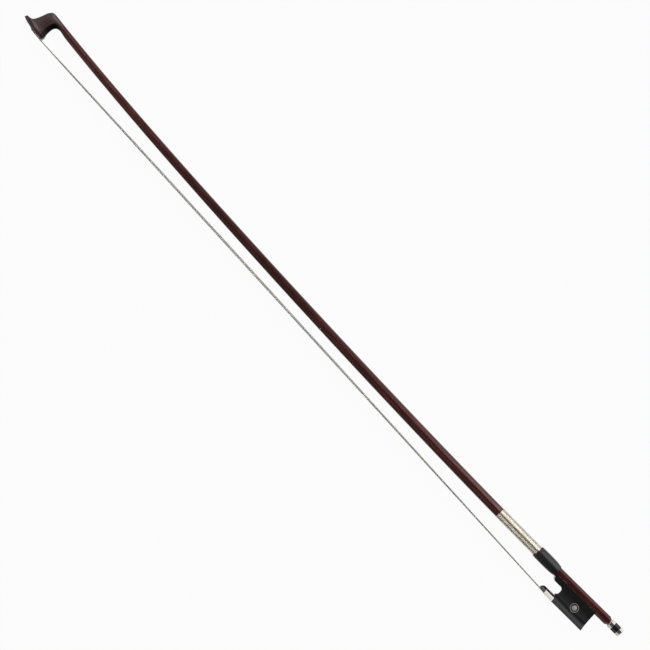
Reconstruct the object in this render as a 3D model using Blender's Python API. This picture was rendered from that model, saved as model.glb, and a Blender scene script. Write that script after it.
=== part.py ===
"""A violin bow, full size, modelled in metres with +Z up.

The bow lies on its side, as it would on a table. In the bow's own frame the screw's axis is X and points
to the button, Y points away from the hair, Z is the bow's width, and the origin is the centre of the
stick's tail end. The empty named bow carries everything and stands the model on the ground.
"""
import math

import bmesh
import bpy
import numpy as np
from mathutils import Matrix, Vector

MM = 0.001

# Clearances
FIT_GAP = 0.1 * MM  # round glued and inlaid pieces
RUN_GAP = 0.3 * MM  # round moving pieces

# Stick, measured along the handle's axis from the tail end
HANDLE_FLATS = 8.4 * MM  # octagon, across flats
HANDLE_ROUNDS_AT = 94 * MM  # the octagon gives way to the round shaft
SHAFT_DIAMETER = 9.1 * MM
SHAFT_TAPER_AT = 140 * MM
NECK_AT = 700 * MM
NECK_DIAMETER = 6.1 * MM
TAPER_POWER = 1.3
CAMBER_AT = 50 * MM
HEAD_AT = 706.8 * MM  # the head's rear corner
CAMBER_RISE = 30.7 * MM
CAMBER_POWER = 1.65
TIP_RISE = 4.1 * MM  # what the last stretch adds to the camber
TIP_POWER = 7.65
TAIL_CHAMFER = 2.2 * MM
TAIL_FLATS = 6.2 * MM
NIPPLE_DIAMETER = 5.0 * MM
NIPPLE_LENGTH = 1.7 * MM
STICK_SIDES = 24

# Head
HEAD_ANGLE = -6.48  # degrees, of the head plate to the handle's axis
HEAD_Y = 14.75 * MM  # of the head's rear corner
HEAD_HEIGHT = 23.3 * MM
NOSE_LENGTH = 26.1 * MM
PLATE_WIDTH = 10.4 * MM
PLATE_THICKNESS = 1.0 * MM
PLATE_LINER = 0.5 * MM
PLATE_FACE = -0.15 * MM  # the plate's face under the head's rear corner
PLATE_FLAT = 15.0 * MM  # flat from the rear corner, then curved up to the nose
PLATE_RADIUS = 23.4 * MM
HEAD_MORTISE_START = 8.0 * MM  # from the rear corner towards the nose
HEAD_MORTISE_LENGTH = 7.0 * MM
HEAD_MORTISE_WIDTH = 6.4 * MM
HEAD_MORTISE_NARROWING = 0.62  # front width over rear width
HEAD_MORTISE_DEPTH = 5.6 * MM

# Screw and button
SCREW_DIAMETER = 2.4 * MM
SCREW_REACH = 62 * MM  # inside the stick
SCREW_TIP = 1.0 * MM
THREAD_PITCH = 0.7 * MM
THREAD_DEPTH = 0.25 * MM
THREAD_LENGTH = 28 * MM
BUTTON_FLATS = 8.0 * MM
COLLAR_LENGTH = 4.8 * MM
BARREL_LENGTH = 5.2 * MM
CAP_LENGTH = 3.9 * MM
BUTTON_CHAMFER = 0.9 * MM
BARREL_BORE = 3.4 * MM  # how deep the screw sits in the barrel

# Frog
FROG_TRAVEL = 5.6 * MM
FROG_LENGTH = 47.4 * MM  # along its top
FROG_HEEL_AT = 14.4 * MM  # of the heel's top, from the stick's tail end
FROG_HEEL_FLARE = 1.1 * MM
FROG_TOP = 2.25 * MM  # below the screw's axis
FROG_BOTTOM = 22.6 * MM
FROG_TOP_WIDTH = 10.0 * MM
FROG_BOTTOM_WIDTH = 13.2 * MM
FLARE_FROM = 6.0 * MM
LIP_SETBACK = 2.6 * MM
FRONT_CORNER = 4.4 * MM
THROAT_TOP = 7.7 * MM
THROAT_HEIGHT = 7.8 * MM
THROAT_DEPTH = 13.8 * MM  # from the frog's front to the throat's end
THROAT_CORNER = 3.1 * MM
TONGUE_TIP = 2.0 * MM  # how far it passes the frog's front
TONGUE_SLANT = 1.9 * MM
EYE_DIAMETER = 8.1 * MM
EYE_RING = 0.7 * MM
EYE_INNER_GAP = 0.9 * MM  # the ebony between the ring and the pearl
EYE_DEPTH = 1.3 * MM
EYE_AT = 30.6 * MM
EYE_Y = 12.5 * MM

# Ferrule
FERRULE_FRONT = 3.6 * MM  # behind the frog's front
FERRULE_LENGTH = 9.9 * MM
FERRULE_WIDTH = 13.4 * MM
FERRULE_SHOULDER_WIDTH = 12.2 * MM
FERRULE_FLAT = 2.0 * MM  # the upright band along the foot of each side, on which the bow lies
FERRULE_WALL = 0.5 * MM
FERRULE_BOTTOM = 22.4 * MM
FERRULE_SHOULDER = 18.5 * MM
FERRULE_TOP = 16.1 * MM
TONGUE_UNDERSIDE = 19.7 * MM
WEDGE_THICKNESS = 1.0 * MM
WEDGE_LENGTH = 11.6 * MM
WEDGE_WIDTH = 10.8 * MM

# Underslide
UNDERSLIDE_THICKNESS = 0.4 * MM
UNDERSLIDE_SETBACK = 0.6 * MM
UNDERSLIDE_RISE = 0.35 * MM  # its bright edges over the frog's top
PIN_DIAMETER = 1.0 * MM
PIN_LENGTH = 2.2 * MM
PIN_INSET = 5.6 * MM

# Eyelet
EYELET_AT = 36.0 * MM
EYELET_LENGTH = 6.0 * MM
EYELET_WIDTH = 4.4 * MM
EYELET_TOP = 2.4 * MM
EYELET_STEM = 2.8 * MM
EYELET_STEM_END = 11.0 * MM
SLOT_MARGIN = 2.0 * MM  # free length at each end of the eyelet's slot

# Pearl slide, frog mortise and plug
SLIDE_WIDTH = 8.8 * MM
SLIDE_DOVETAIL = 0.6 * MM
SLIDE_LENGTH = 29.0 * MM
PEARL_THICKNESS = 0.8 * MM
BACKING_THICKNESS = 0.8 * MM
FROG_MORTISE_AT = 45.0 * MM  # its front wall
FROG_MORTISE_LENGTH = 9.0 * MM
FROG_MORTISE_WIDTH = 8.6 * MM
FROG_MORTISE_TOP = 15.9 * MM

# Hair
HAIR_THICKNESS = 0.6 * MM
HAIR_WIDTH_FROG = 10.4 * MM
HAIR_WIDTH_HEAD = 7.8 * MM
HAIR_WIDTH_KNOT = 6.0 * MM
KNOT_WIDTH_HEAD = 3.6 * MM
KNOT_WIDTH_FROG = 6.4 * MM
HAIR_ROWS = 3
HAIR_COLUMNS = 50
HAIR_FULLNESS = 0.6  # of each strand's share of the ribbon
KNOT_LENGTH = 5.6 * MM
KNOT_THICKNESS = 2.0 * MM
THREAD_THICKNESS = 0.35 * MM
THREAD_WIDTH = 1.8 * MM

# Winding and grip, measured from the stick's tail end
WINDING_FROM = 86.0 * MM
WINDING_TO = 134.4 * MM
WINDING_TURNS = 24
WINDING_STEPS = 24
WINDING_CORE = 0.15 * MM
WIRE_WIDTH = 1.3 * MM
WIRE_THICKNESS = 0.26 * MM
GRIP_CLEARANCE = 0.8 * MM  # between the frog, screwed home, and the grip
GRIP_TO = 87.8 * MM
GRIP_DIAMETER = 11.5 * MM
GRIP_TAPER = 4.4 * MM
GRIP_END_DIAMETER = 10.0 * MM

ROUND = 32  # sides of small round pieces

# Sizes that follow from the ones above
SHAFT_RADIUS = SHAFT_DIAMETER / 2
FROG_FRONT = FROG_HEEL_AT + FROG_LENGTH
GRIP_FROM = FROG_FRONT + GRIP_CLEARANCE
FERRULE_FROM = FROG_FRONT - FERRULE_FRONT
FERRULE_TO = FERRULE_FROM - FERRULE_LENGTH
SLIDE_TOP = FROG_BOTTOM - PEARL_THICKNESS - BACKING_THICKNESS - 2 * FIT_GAP
SLOT_FRONT = EYELET_AT + EYELET_LENGTH / 2 + SLOT_MARGIN
SLOT_BACK = EYELET_AT - EYELET_LENGTH / 2 - FROG_TRAVEL - SLOT_MARGIN
BORE_RADIUS = SCREW_DIAMETER / 2 + RUN_GAP
LINER_INSIDE = HANDLE_FLATS / 2 + RUN_GAP
LINER_OUTSIDE = LINER_INSIDE + UNDERSLIDE_THICKNESS
FERRULE_FLOOR = FERRULE_BOTTOM - FERRULE_WALL
HAIR_MOUTH = FERRULE_FLOOR - FIT_GAP - HAIR_THICKNESS / 2
HAIR_CHANNEL = TONGUE_UNDERSIDE + FIT_GAP + HAIR_THICKNESS / 2
HAIR_UNDER_PLATE = PLATE_FACE - FIT_GAP - HAIR_THICKNESS / 2
BOUND_KNOT = KNOT_THICKNESS / 2 + FIT_GAP + THREAD_THICKNESS  # half a knot with its thread
HEAD_KNOT = HEAD_MORTISE_DEPTH - FIT_GAP - BOUND_KNOT
FROG_KNOT = FROG_MORTISE_TOP + FIT_GAP + BOUND_KNOT


def fresh_start():
    """Empty the scene and make the model's collection."""
    for old in list(bpy.data.objects):
        bpy.data.objects.remove(old, do_unlink=True)
    collection = bpy.data.collections.new("violin_bow")
    bpy.context.scene.collection.children.link(collection)
    return collection


COLLECTION = fresh_start()


def material(name, colour, roughness, metallic=0.0):
    """A Principled material, its colour in linear values."""
    made = bpy.data.materials.new(name)
    made.use_nodes = True
    shader = made.node_tree.nodes["Principled BSDF"]
    shader.inputs["Base Color"].default_value = (*colour, 1.0)
    shader.inputs["Roughness"].default_value = roughness
    shader.inputs["Metallic"].default_value = metallic
    made.diffuse_color = (*colour, 1.0)
    return made


BRAZILWOOD = material("varnished_brazilwood", (0.075, 0.018, 0.013), 0.3)
EBONY = material("polished_ebony", (0.008, 0.008, 0.009), 0.3)
NICKEL_SILVER = material("nickel_silver", (0.58, 0.55, 0.50), 0.25, 1.0)
STEEL = material("screw_steel", (0.45, 0.45, 0.46), 0.35, 1.0)
BRASS = material("eyelet_brass", (0.60, 0.42, 0.16), 0.35, 1.0)
MAPLE = material("maple_plug", (0.55, 0.38, 0.22), 0.6)
WEDGE_WOOD = material("stained_wedge", (0.10, 0.045, 0.025), 0.6)
PEARL = material("mother_of_pearl", (0.62, 0.64, 0.60), 0.2)
HORSEHAIR = material("white_horsehair", (0.70, 0.68, 0.58), 0.5)
LEATHER = material("black_leather", (0.028, 0.027, 0.026), 0.5)
THREAD = material("knot_thread", (0.50, 0.12, 0.08), 0.8)
BLACK_PLATE = material("black_head_plate", (0.015, 0.015, 0.016), 0.3)


def empty(name, parent=None, location=(0, 0, 0)):
    """An empty that carries a group of pieces."""
    made = bpy.data.objects.new(name, None)
    made.empty_display_size = 10 * MM
    made.location = location
    made.parent = parent
    COLLECTION.objects.link(made)
    return made


BOW = empty("bow")
FROG_SLIDE = empty("frog_slide", BOW)
SCREW_AXIS = empty("screw_axis", BOW)


def tidy_mesh(name, bm):
    """A mesh from bmesh data, welded, with its faces pointing out and round parts shaded smooth."""
    bmesh.ops.remove_doubles(bm, verts=bm.verts, dist=1e-7)
    bmesh.ops.recalc_face_normals(bm, faces=bm.faces)
    mesh = bpy.data.meshes.new(name)
    bm.to_mesh(mesh)
    bm.free()
    mesh.shade_smooth()
    mesh.set_sharp_from_angle(angle=math.radians(30))
    return mesh


def place(name, mesh, finish=None, parent=None):
    """Put a mesh in the scene as an object."""
    made = bpy.data.objects.new(name, mesh)
    if finish:
        mesh.materials.clear()
        mesh.materials.append(finish)
    made.parent = parent
    COLLECTION.objects.link(made)
    return made


def loft(name, rings, closed=False):
    """A solid through rings with equal point counts, capped at its ends or closed on itself."""
    bm = bmesh.new()
    rows = [[bm.verts.new(point) for point in ring] for ring in rings]
    pairs = list(zip(rows, rows[1:]))
    if closed:
        pairs.append((rows[-1], rows[0]))
    else:
        bm.faces.new(rows[0])
        bm.faces.new(rows[-1])
    for first, second in pairs:
        for i in range(len(first)):
            j = (i + 1) % len(first)
            bm.faces.new((first[i], first[j], second[j], second[i]))
    return tidy_mesh(name, bm)


def prism(name, outline, axis, low, high):
    """A flat outline extruded along one axis: (x, y) along Z, or (y, z) along X."""
    if axis == "Z":
        rings = [[(x, y, depth) for x, y in outline] for depth in (low, high)]
    else:
        rings = [[(depth, y, z) for y, z in outline] for depth in (low, high)]
    return loft(name, rings)


def box(name, low, high):
    """A box between two corners."""
    bm = bmesh.new()
    size = Vector(high) - Vector(low)
    middle = (Vector(high) + Vector(low)) / 2
    bmesh.ops.create_cube(bm, size=1, matrix=Matrix.Translation(middle) @ Matrix.Diagonal((*size, 1)))
    return tidy_mesh(name, bm)


def cylinder(name, radius, start, end, sides=ROUND):
    """A round bar between two points."""
    bm = bmesh.new()
    start, end = Vector(start), Vector(end)
    along = end - start
    turn = along.to_track_quat("Z", "Y").to_matrix().to_4x4()
    bmesh.ops.create_cone(
        bm,
        segments=sides,
        radius1=radius,
        radius2=radius,
        depth=along.length,
        cap_ends=True,
        matrix=Matrix.Translation((start + end) / 2) @ turn,
    )
    return tidy_mesh(name, bm)


def combine(solid, tools, operation):
    """Apply Boolean modifiers to an object, one for each tool mesh, and keep the result as its mesh."""
    helpers = []
    for tool in tools:
        helper = place("tool", tool)
        helper.hide_render = True
        helper.display_type = "WIRE"
        helpers.append(helper)
        modifier = solid.modifiers.new("combine", "BOOLEAN")
        modifier.operation = operation
        modifier.object = helper
        modifier.solver = "EXACT"
    graph = bpy.context.evaluated_depsgraph_get()
    result = bpy.data.meshes.new_from_object(solid.evaluated_get(graph))
    solid.modifiers.clear()
    finishes = list(solid.data.materials)
    bm = bmesh.new()
    bm.from_mesh(result)
    bmesh.ops.dissolve_degenerate(bm, edges=bm.edges, dist=1e-7)
    solid.data = tidy_mesh(solid.name, bm)
    for finish in finishes:
        solid.data.materials.append(finish)
    for helper in helpers:
        bpy.data.objects.remove(helper, do_unlink=True)
    return solid


def cut(solid, *tools):
    return combine(solid, tools, "DIFFERENCE")


def fuse(solid, *tools):
    return combine(solid, tools, "UNION")


def keep_inside(solid, *tools):
    return combine(solid, tools, "INTERSECT")


def camber(distance):
    """The stick's rise over the handle's axis at a distance from the tail end."""
    share = max(0.0, (distance - CAMBER_AT) / (HEAD_AT - CAMBER_AT))
    return CAMBER_RISE * share**CAMBER_POWER + TIP_RISE * share**TIP_POWER


def shaft_radius(distance):
    """The round shaft's radius, which tapers towards the head."""
    share = max(0.0, (distance - SHAFT_TAPER_AT) / (NECK_AT - SHAFT_TAPER_AT))
    return (SHAFT_DIAMETER - (SHAFT_DIAMETER - NECK_DIAMETER) * share**TAPER_POWER) / 2


def stick_point(distance, angle, radius):
    """A point round the stick's centre line: angle 0 is its top, a quarter turn is its side."""
    step = 1 * MM
    slope = (camber(distance + step) - camber(distance - step)) / (2 * step)
    up = Vector((slope, 1, 0)).normalized()
    centre = Vector((-distance, camber(distance), 0))
    return centre + up * radius * math.cos(angle) + Vector((0, 0, 1)) * radius * math.sin(angle)


def octagon_radius(flats, angle):
    """How far an octagon's outline is from its centre, with flats facing up and sideways."""
    eighth = math.pi / 4
    return flats / 2 / math.cos((angle + eighth / 2) % eighth - eighth / 2)


def round_ring(distance, radius, sides=STICK_SIDES):
    angles = [(i + 0.5) * math.tau / sides for i in range(sides)]
    return [stick_point(distance, angle, radius) for angle in angles]


def octagon_ring(distance, flats, sides=STICK_SIDES):
    angles = [(i + 0.5) * math.tau / sides for i in range(sides)]
    return [stick_point(distance, angle, octagon_radius(flats, angle)) for angle in angles]


def sleeve(name, stations):
    """A tube along the stick from (distance, outer radius, inner radius) stations."""
    outside = [round_ring(distance, outer) for distance, outer, _ in stations]
    inside = [round_ring(distance, inner) for distance, _, inner in reversed(stations)]
    return loft(name, outside + inside, closed=True)


def head_point(along, height, side=0.0):
    """A point in the head's frame: along is towards the frog from the rear corner, height from the plate."""
    turn = math.radians(HEAD_ANGLE)
    x = -HEAD_AT + along * math.cos(turn) - height * math.sin(turn)
    y = HEAD_Y + along * math.sin(turn) + height * math.cos(turn)
    return Vector((x, y, side))


def plate_curve(along, offset):
    """Height of the plate's face, or of a layer over it, towards the nose."""
    past = max(0.0, -along - PLATE_FLAT)
    return PLATE_FACE + offset + PLATE_RADIUS - math.sqrt(PLATE_RADIUS**2 - past**2)


# The head's cross-sections parallel to its plate, from below the plate to the top, in shares of
# the head's height and the plate's half width: height, rear, side edge, front ridge, then the
# half widths of the rear face, side edge, cheek and ridge. Along values are shares of the nose's length.
HEAD_SECTIONS = (
    (-0.06, 0.000, -0.20, -1.000, 0.94, 0.98, 0.60, 0.14),
    (0.04, -0.012, -0.20, -1.000, 0.90, 0.96, 0.58, 0.13),
    (0.13, -0.040, -0.21, -0.985, 0.76, 0.88, 0.54, 0.10),
    (0.175, -0.055, -0.22, -0.935, 0.66, 0.84, 0.54, 0.10),
    (0.195, -0.060, -0.22, -0.850, 0.62, 0.82, 0.57, 0.10),
    (0.245, -0.070, -0.23, -0.755, 0.54, 0.79, 0.60, 0.10),
    (0.325, -0.085, -0.24, -0.700, 0.46, 0.73, 0.56, 0.10),
    (0.415, -0.093, -0.25, -0.665, 0.40, 0.68, 0.52, 0.10),
    (0.560, -0.088, -0.26, -0.618, 0.34, 0.62, 0.48, 0.10),
    (0.640, -0.070, -0.26, -0.598, 0.32, 0.60, 0.46, 0.11),
    (0.700, -0.030, -0.26, -0.587, 0.26, 0.59, 0.45, 0.12),
    (0.740, 0.030, -0.26, -0.578, 0.16, 0.58, 0.44, 0.13),
    (0.790, -0.050, -0.23, -0.566, 0.30, 0.60, 0.44, 0.14),
    (0.860, -0.060, -0.22, -0.548, 0.34, 0.61, 0.44, 0.18),
    (0.910, -0.060, -0.22, -0.522, 0.30, 0.57, 0.41, 0.20),
    (0.950, -0.060, -0.22, -0.490, 0.22, 0.47, 0.33, 0.19),
    (0.975, -0.080, -0.22, -0.460, 0.14, 0.35, 0.26, 0.16),
    (0.997, -0.215, -0.23, -0.410, 0.10, 0.12, 0.11, 0.08),
)


def head_form():
    """The carved head down past its plate, before the plate is parted from it."""
    half = PLATE_WIDTH / 2
    rings = []
    for height, rear, edge, ridge, w_rear, w_edge, w_cheek, w_ridge in HEAD_SECTIONS:
        cheek = edge + 0.55 * (ridge - edge)
        row = ((rear, w_rear), (edge, w_edge), (cheek, w_cheek), (ridge, w_ridge))
        right = [(share * NOSE_LENGTH, width * half) for share, width in row]
        ring = right + [(along, -side) for along, side in reversed(right)]
        rings.append([head_point(along, height * HEAD_HEIGHT, side) for along, side in ring])
    return loft("head_form", rings)


def head_band(low, high, clear=2 * MM):
    """The space between two offsets of the plate's face, wider than the head."""
    steps = 10
    fronts = [-(PLATE_FLAT + (NOSE_LENGTH + clear - PLATE_FLAT) * i / steps) for i in range(steps + 1)]
    runs = [clear] + fronts
    lower = [head_point(along, plate_curve(along, low)) for along in runs]
    upper = [head_point(along, plate_curve(along, high)) for along in reversed(runs)]
    outline = [(point.x, point.y) for point in lower + upper]
    return prism("band", outline, "Z", -PLATE_WIDTH, PLATE_WIDTH)


def head_mortise(shrink, low, high):
    """The trapezoid mortise of the head between two heights, or what fits it with a gap."""
    half = HEAD_MORTISE_WIDTH / 2 - shrink
    narrow = HEAD_MORTISE_WIDTH / 2 * HEAD_MORTISE_NARROWING - shrink
    back = -HEAD_MORTISE_START - shrink
    front = -HEAD_MORTISE_START - HEAD_MORTISE_LENGTH + shrink
    corners = ((back, half), (back, -half), (front, -narrow), (front, narrow))
    rings = [[head_point(along, height, side) for along, side in corners] for height in (low, high)]
    return loft("head_mortise", rings)


def make_stick():
    """The stick with its octagonal handle, cambered shaft, carved head, screw bore and mortises."""
    rings = [round_ring(-NIPPLE_LENGTH, NIPPLE_DIAMETER / 2), round_ring(0, NIPPLE_DIAMETER / 2)]
    rings += [octagon_ring(0, TAIL_FLATS), octagon_ring(TAIL_CHAMFER, HANDLE_FLATS)]
    octagon_end = HANDLE_ROUNDS_AT - 3 * MM
    bends = 5
    for i in range(bends + 1):
        rings.append(octagon_ring(CAMBER_AT + (octagon_end - CAMBER_AT) * i / bends, HANDLE_FLATS))
    shaft_end = HEAD_AT + 5.5 * MM
    spans = 30
    for i in range(spans + 1):
        distance = HANDLE_ROUNDS_AT + (shaft_end - HANDLE_ROUNDS_AT) * i / spans
        rings.append(round_ring(distance, shaft_radius(min(distance, NECK_AT))))
    stick = place("stick", loft("stick", rings), BRAZILWOOD, BOW)
    fuse(stick, head_form())
    waste = head_band(-HEAD_HEIGHT, PLATE_THICKNESS + PLATE_LINER + 2 * FIT_GAP)
    mortise = head_mortise(0, -1 * MM, HEAD_MORTISE_DEPTH)
    bore = cylinder("bore", BORE_RADIUS, (5 * MM, 0, 0), (-SCREW_REACH - 2 * MM, 0, 0), 16)
    slot_half = EYELET_WIDTH / 2 + RUN_GAP
    slot = box(
        "slot",
        (-SLOT_FRONT, -HANDLE_FLATS, -slot_half),
        (-SLOT_BACK, EYELET_TOP + RUN_GAP, slot_half),
    )
    cut(stick, waste, mortise, bore, slot)
    return stick


def make_plate():
    """The head plate and the liner between it and the wood, both pierced by the mortise."""
    plate = place("head_plate", head_form(), BLACK_PLATE, BOW)
    keep_inside(plate, head_band(0, PLATE_THICKNESS))
    liner = place("head_plate_liner", head_form(), EBONY, BOW)
    liner_low = PLATE_THICKNESS + FIT_GAP
    keep_inside(liner, head_band(liner_low, liner_low + PLATE_LINER))
    for layer in (plate, liner):
        cut(layer, head_mortise(0, -1 * MM, HEAD_MORTISE_DEPTH))


def side_band(name, corners, half=PLATE_WIDTH):
    """An upright block through the bow's width over an outline given as points."""
    return prism(name, [(corner.x, corner.y) for corner in corners], "Z", -half, half)


def make_head_plug():
    """The maple plug that holds the hair in the head, with room for the hair behind it."""
    top = HEAD_KNOT - BOUND_KNOT - FIT_GAP
    plug = place("head_plug", head_mortise(FIT_GAP, PLATE_FACE, top), MAPLE, BOW)
    room = -HEAD_MORTISE_START - HAIR_THICKNESS - 2 * FIT_GAP
    places = ((1 * MM, -2 * MM), (1 * MM, HEAD_MORTISE_DEPTH), (room, HEAD_MORTISE_DEPTH), (room, -2 * MM))
    cut(plug, side_band("hair_room", [head_point(along, height) for along, height in places]))


def hair_ring(point, across, thickness, width):
    """A rectangular section of the hair, with its thickness along a direction in the bow's plane."""
    half = Vector(across).normalized() * thickness / 2
    side = Vector((0, 0, width / 2))
    return [point - half - side, point - half + side, point + half + side, point + half - side]


def head_hair_rings():
    """The hair's sections in the head: its knot, down behind the plug, then back under the plate."""
    behind = -HEAD_MORTISE_START - FIT_GAP - HAIR_THICKNESS / 2
    turn = math.radians(HEAD_ANGLE)
    rear = Vector((math.cos(turn), math.sin(turn), 0))
    up = Vector((-math.sin(turn), math.cos(turn), 0))
    thin = HAIR_THICKNESS
    corner = rear * thin + up * KNOT_THICKNESS
    below_knot = HEAD_KNOT - KNOT_THICKNESS / 2 - thin
    return [
        hair_ring(head_point(behind - KNOT_LENGTH, HEAD_KNOT), up, KNOT_THICKNESS, KNOT_WIDTH_HEAD),
        hair_ring(head_point(behind - 2 * thin, HEAD_KNOT), up, KNOT_THICKNESS, KNOT_WIDTH_HEAD),
        hair_ring(head_point(behind, HEAD_KNOT), corner, corner.length, HAIR_WIDTH_KNOT),
        hair_ring(head_point(behind, below_knot), rear, thin, HAIR_WIDTH_KNOT),
        hair_ring(head_point(behind, HAIR_UNDER_PLATE + thin), rear, thin, HAIR_WIDTH_KNOT),
        hair_ring(head_point(behind, HAIR_UNDER_PLATE), rear + up, thin * math.sqrt(2), HAIR_WIDTH_KNOT),
        hair_ring(head_point(behind + thin, HAIR_UNDER_PLATE), up, thin, HAIR_WIDTH_KNOT),
        hair_ring(head_point(0.5 * MM, HAIR_UNDER_PLATE), up, thin, HAIR_WIDTH_HEAD),
    ]


def frog_hair_rings():
    """The hair's sections in the frog: in at the ferrule's mouth, over the slide, up to its knot."""
    thin = HAIR_THICKNESS
    up = Vector((0, 1, 0))
    back = Vector((1, 0, 0))
    wall = -FROG_MORTISE_AT + FIT_GAP + thin / 2
    inside = Vector((-FERRULE_TO - 3 * MM, -HAIR_MOUTH, 0))
    shoulder = Vector((-FERRULE_TO - FIT_GAP, -HAIR_CHANNEL, 0))
    corner = back * thin - up * KNOT_THICKNESS
    knot = Vector((wall, -FROG_KNOT, 0))
    knot_end = Vector((wall + KNOT_LENGTH, -FROG_KNOT, 0))
    below_knot = Vector((wall, -FROG_KNOT - KNOT_THICKNESS / 2 - thin, 0))
    turn_in = Vector((wall, -HAIR_CHANNEL, 0))
    return [
        hair_ring(inside, up, thin, HAIR_WIDTH_FROG),
        hair_ring(shoulder, up, thin, HAIR_WIDTH_FROG),
        hair_ring(turn_in - back * thin, up, thin, KNOT_WIDTH_FROG),
        hair_ring(turn_in, up - back, thin * math.sqrt(2), KNOT_WIDTH_FROG),
        hair_ring(turn_in + up * thin, -back, thin, KNOT_WIDTH_FROG),
        hair_ring(below_knot, -back, thin, KNOT_WIDTH_FROG),
        hair_ring(knot, -corner, corner.length, KNOT_WIDTH_FROG),
        hair_ring(knot_end, up, KNOT_THICKNESS, KNOT_WIDTH_FROG),
    ]


def hair_mouths():
    """The two sections between which the hair runs free, square to its run."""
    head = head_point(0.9 * MM, HAIR_UNDER_PLATE)
    frog = Vector((-FERRULE_FROM + 1.2 * MM, -HAIR_MOUTH, 0))
    run = (frog - head).normalized()
    across = Vector((-run.y, run.x, 0))
    return (
        hair_ring(head, across, HAIR_THICKNESS, HAIR_WIDTH_HEAD),
        hair_ring(frog, across, HAIR_THICKNESS, HAIR_WIDTH_FROG),
    )


def strand_lines(count):
    """Where the strands' sides lie across the hair, as shares from 0 to 1, with a gap before each."""
    lines = [0.0]
    pitch = 1.0 / count
    for i in range(count):
        lines.append((i + (1 - HAIR_FULLNESS) / 2) * pitch)
        lines.append((i + (1 + HAIR_FULLNESS) / 2) * pitch)
    return lines + [1.0]


def make_hair():
    """The ribbon of straight strands, fused to a solid end in the head and one in the frog."""
    bm = bmesh.new()
    columns = strand_lines(HAIR_COLUMNS)
    rows = strand_lines(HAIR_ROWS)
    grids = []
    for ring in hair_mouths():
        low, high, far = ring[0], ring[1], ring[3]
        grids.append([[bm.verts.new(low + (high - low) * u + (far - low) * v) for u in columns] for v in rows])
    head_grid, frog_grid = grids

    def strand_cell(row, column):
        return row % 2 == 1 and column % 2 == 1

    for grid in grids:
        for row in range(len(rows) - 1):
            for column in range(len(columns) - 1):
                if not strand_cell(row, column):
                    bm.faces.new((
                        grid[row][column],
                        grid[row][column + 1],
                        grid[row + 1][column + 1],
                        grid[row + 1][column],
                    ))
    for row in range(1, len(rows) - 1, 2):
        for column in range(1, len(columns) - 1, 2):
            corners = ((row, column), (row, column + 1), (row + 1, column + 1), (row + 1, column))
            for (r1, c1), (r2, c2) in zip(corners, corners[1:] + corners[:1]):
                bm.faces.new((head_grid[r1][c1], head_grid[r2][c2], frog_grid[r2][c2], frog_grid[r1][c1]))

    def end_skin(grid, rings):
        """Wall a grid's border to the next section of a solid end and on to its cap."""
        border = [grid[0], [line[-1] for line in grid], grid[-1][::-1], [line[0] for line in grid][::-1]]
        first = [bm.verts.new(point) for point in rings[0]]
        for i, side in enumerate(border):
            bm.faces.new([first[(i + 1) % 4], first[i]] + side)
        last = first
        for ring in rings[1:]:
            new = [bm.verts.new(point) for point in ring]
            for i in range(4):
                j = (i + 1) % 4
                bm.faces.new((last[i], last[j], new[j], new[i]))
            last = new
        bm.faces.new(last)

    end_skin(head_grid, head_hair_rings()[::-1])
    end_skin(frog_grid, frog_hair_rings())
    bmesh.ops.triangulate(bm, faces=bm.faces)
    return place("hair_ribbon", tidy_mesh("hair_ribbon", bm), HORSEHAIR, BOW)


def make_knot_threads():
    """The thread bound round each knot."""
    for name, parent, centre, tilt, width in (
        ("head_knot_thread", BOW, head_point(-HEAD_MORTISE_START - 4 * MM, HEAD_KNOT), HEAD_ANGLE,
         KNOT_WIDTH_HEAD),
        ("frog_knot_thread", FROG_SLIDE, Vector((-FROG_MORTISE_AT + 4.0 * MM, -FROG_KNOT, 0)), 0,
         KNOT_WIDTH_FROG),
    ):
        turn = math.radians(tilt)
        along = Vector((math.cos(turn), math.sin(turn), 0))
        up = Vector((-math.sin(turn), math.cos(turn), 0))
        rings = []
        for wall, ends in ((FIT_GAP + THREAD_THICKNESS, (-1, 1)), (FIT_GAP, (1, -1))):
            for end in ends:
                middle = centre + along * end * THREAD_WIDTH / 2
                rings.append(hair_ring(middle, up, KNOT_THICKNESS + 2 * wall, width + 2 * wall))
        place(name, loft(name, rings, closed=True), THREAD, parent)


def frog_half_width(depth):
    """Half the frog's width at a depth below the screw's axis: its sides flare towards the hair."""
    share = max(0.0, (depth - FLARE_FROM) / (FROG_BOTTOM - FLARE_FROM))
    return (FROG_TOP_WIDTH + (FROG_BOTTOM_WIDTH - FROG_TOP_WIDTH) * share**2) / 2


def frog_blank():
    """The frog's flared section run past both of its ends."""
    steps = 7
    depths = [FLARE_FROM + (FROG_BOTTOM - FLARE_FROM) * i / steps for i in range(steps + 1)]
    depths = [FROG_TOP] + depths
    right = [(-depth, frog_half_width(depth)) for depth in depths]
    outline = right + [(y, -z) for y, z in reversed(right)]
    return prism("frog_blank", outline, "X", -FROG_FRONT - 1 * MM, 0)


def arc(centre, radius, start, end, steps):
    """Points on an arc in the bow's plane, angles in degrees."""
    angles = [math.radians(start + (end - start) * i / steps) for i in range(steps + 1)]
    return [(centre[0] + radius * math.cos(a), centre[1] + radius * math.sin(a)) for a in angles]


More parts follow.
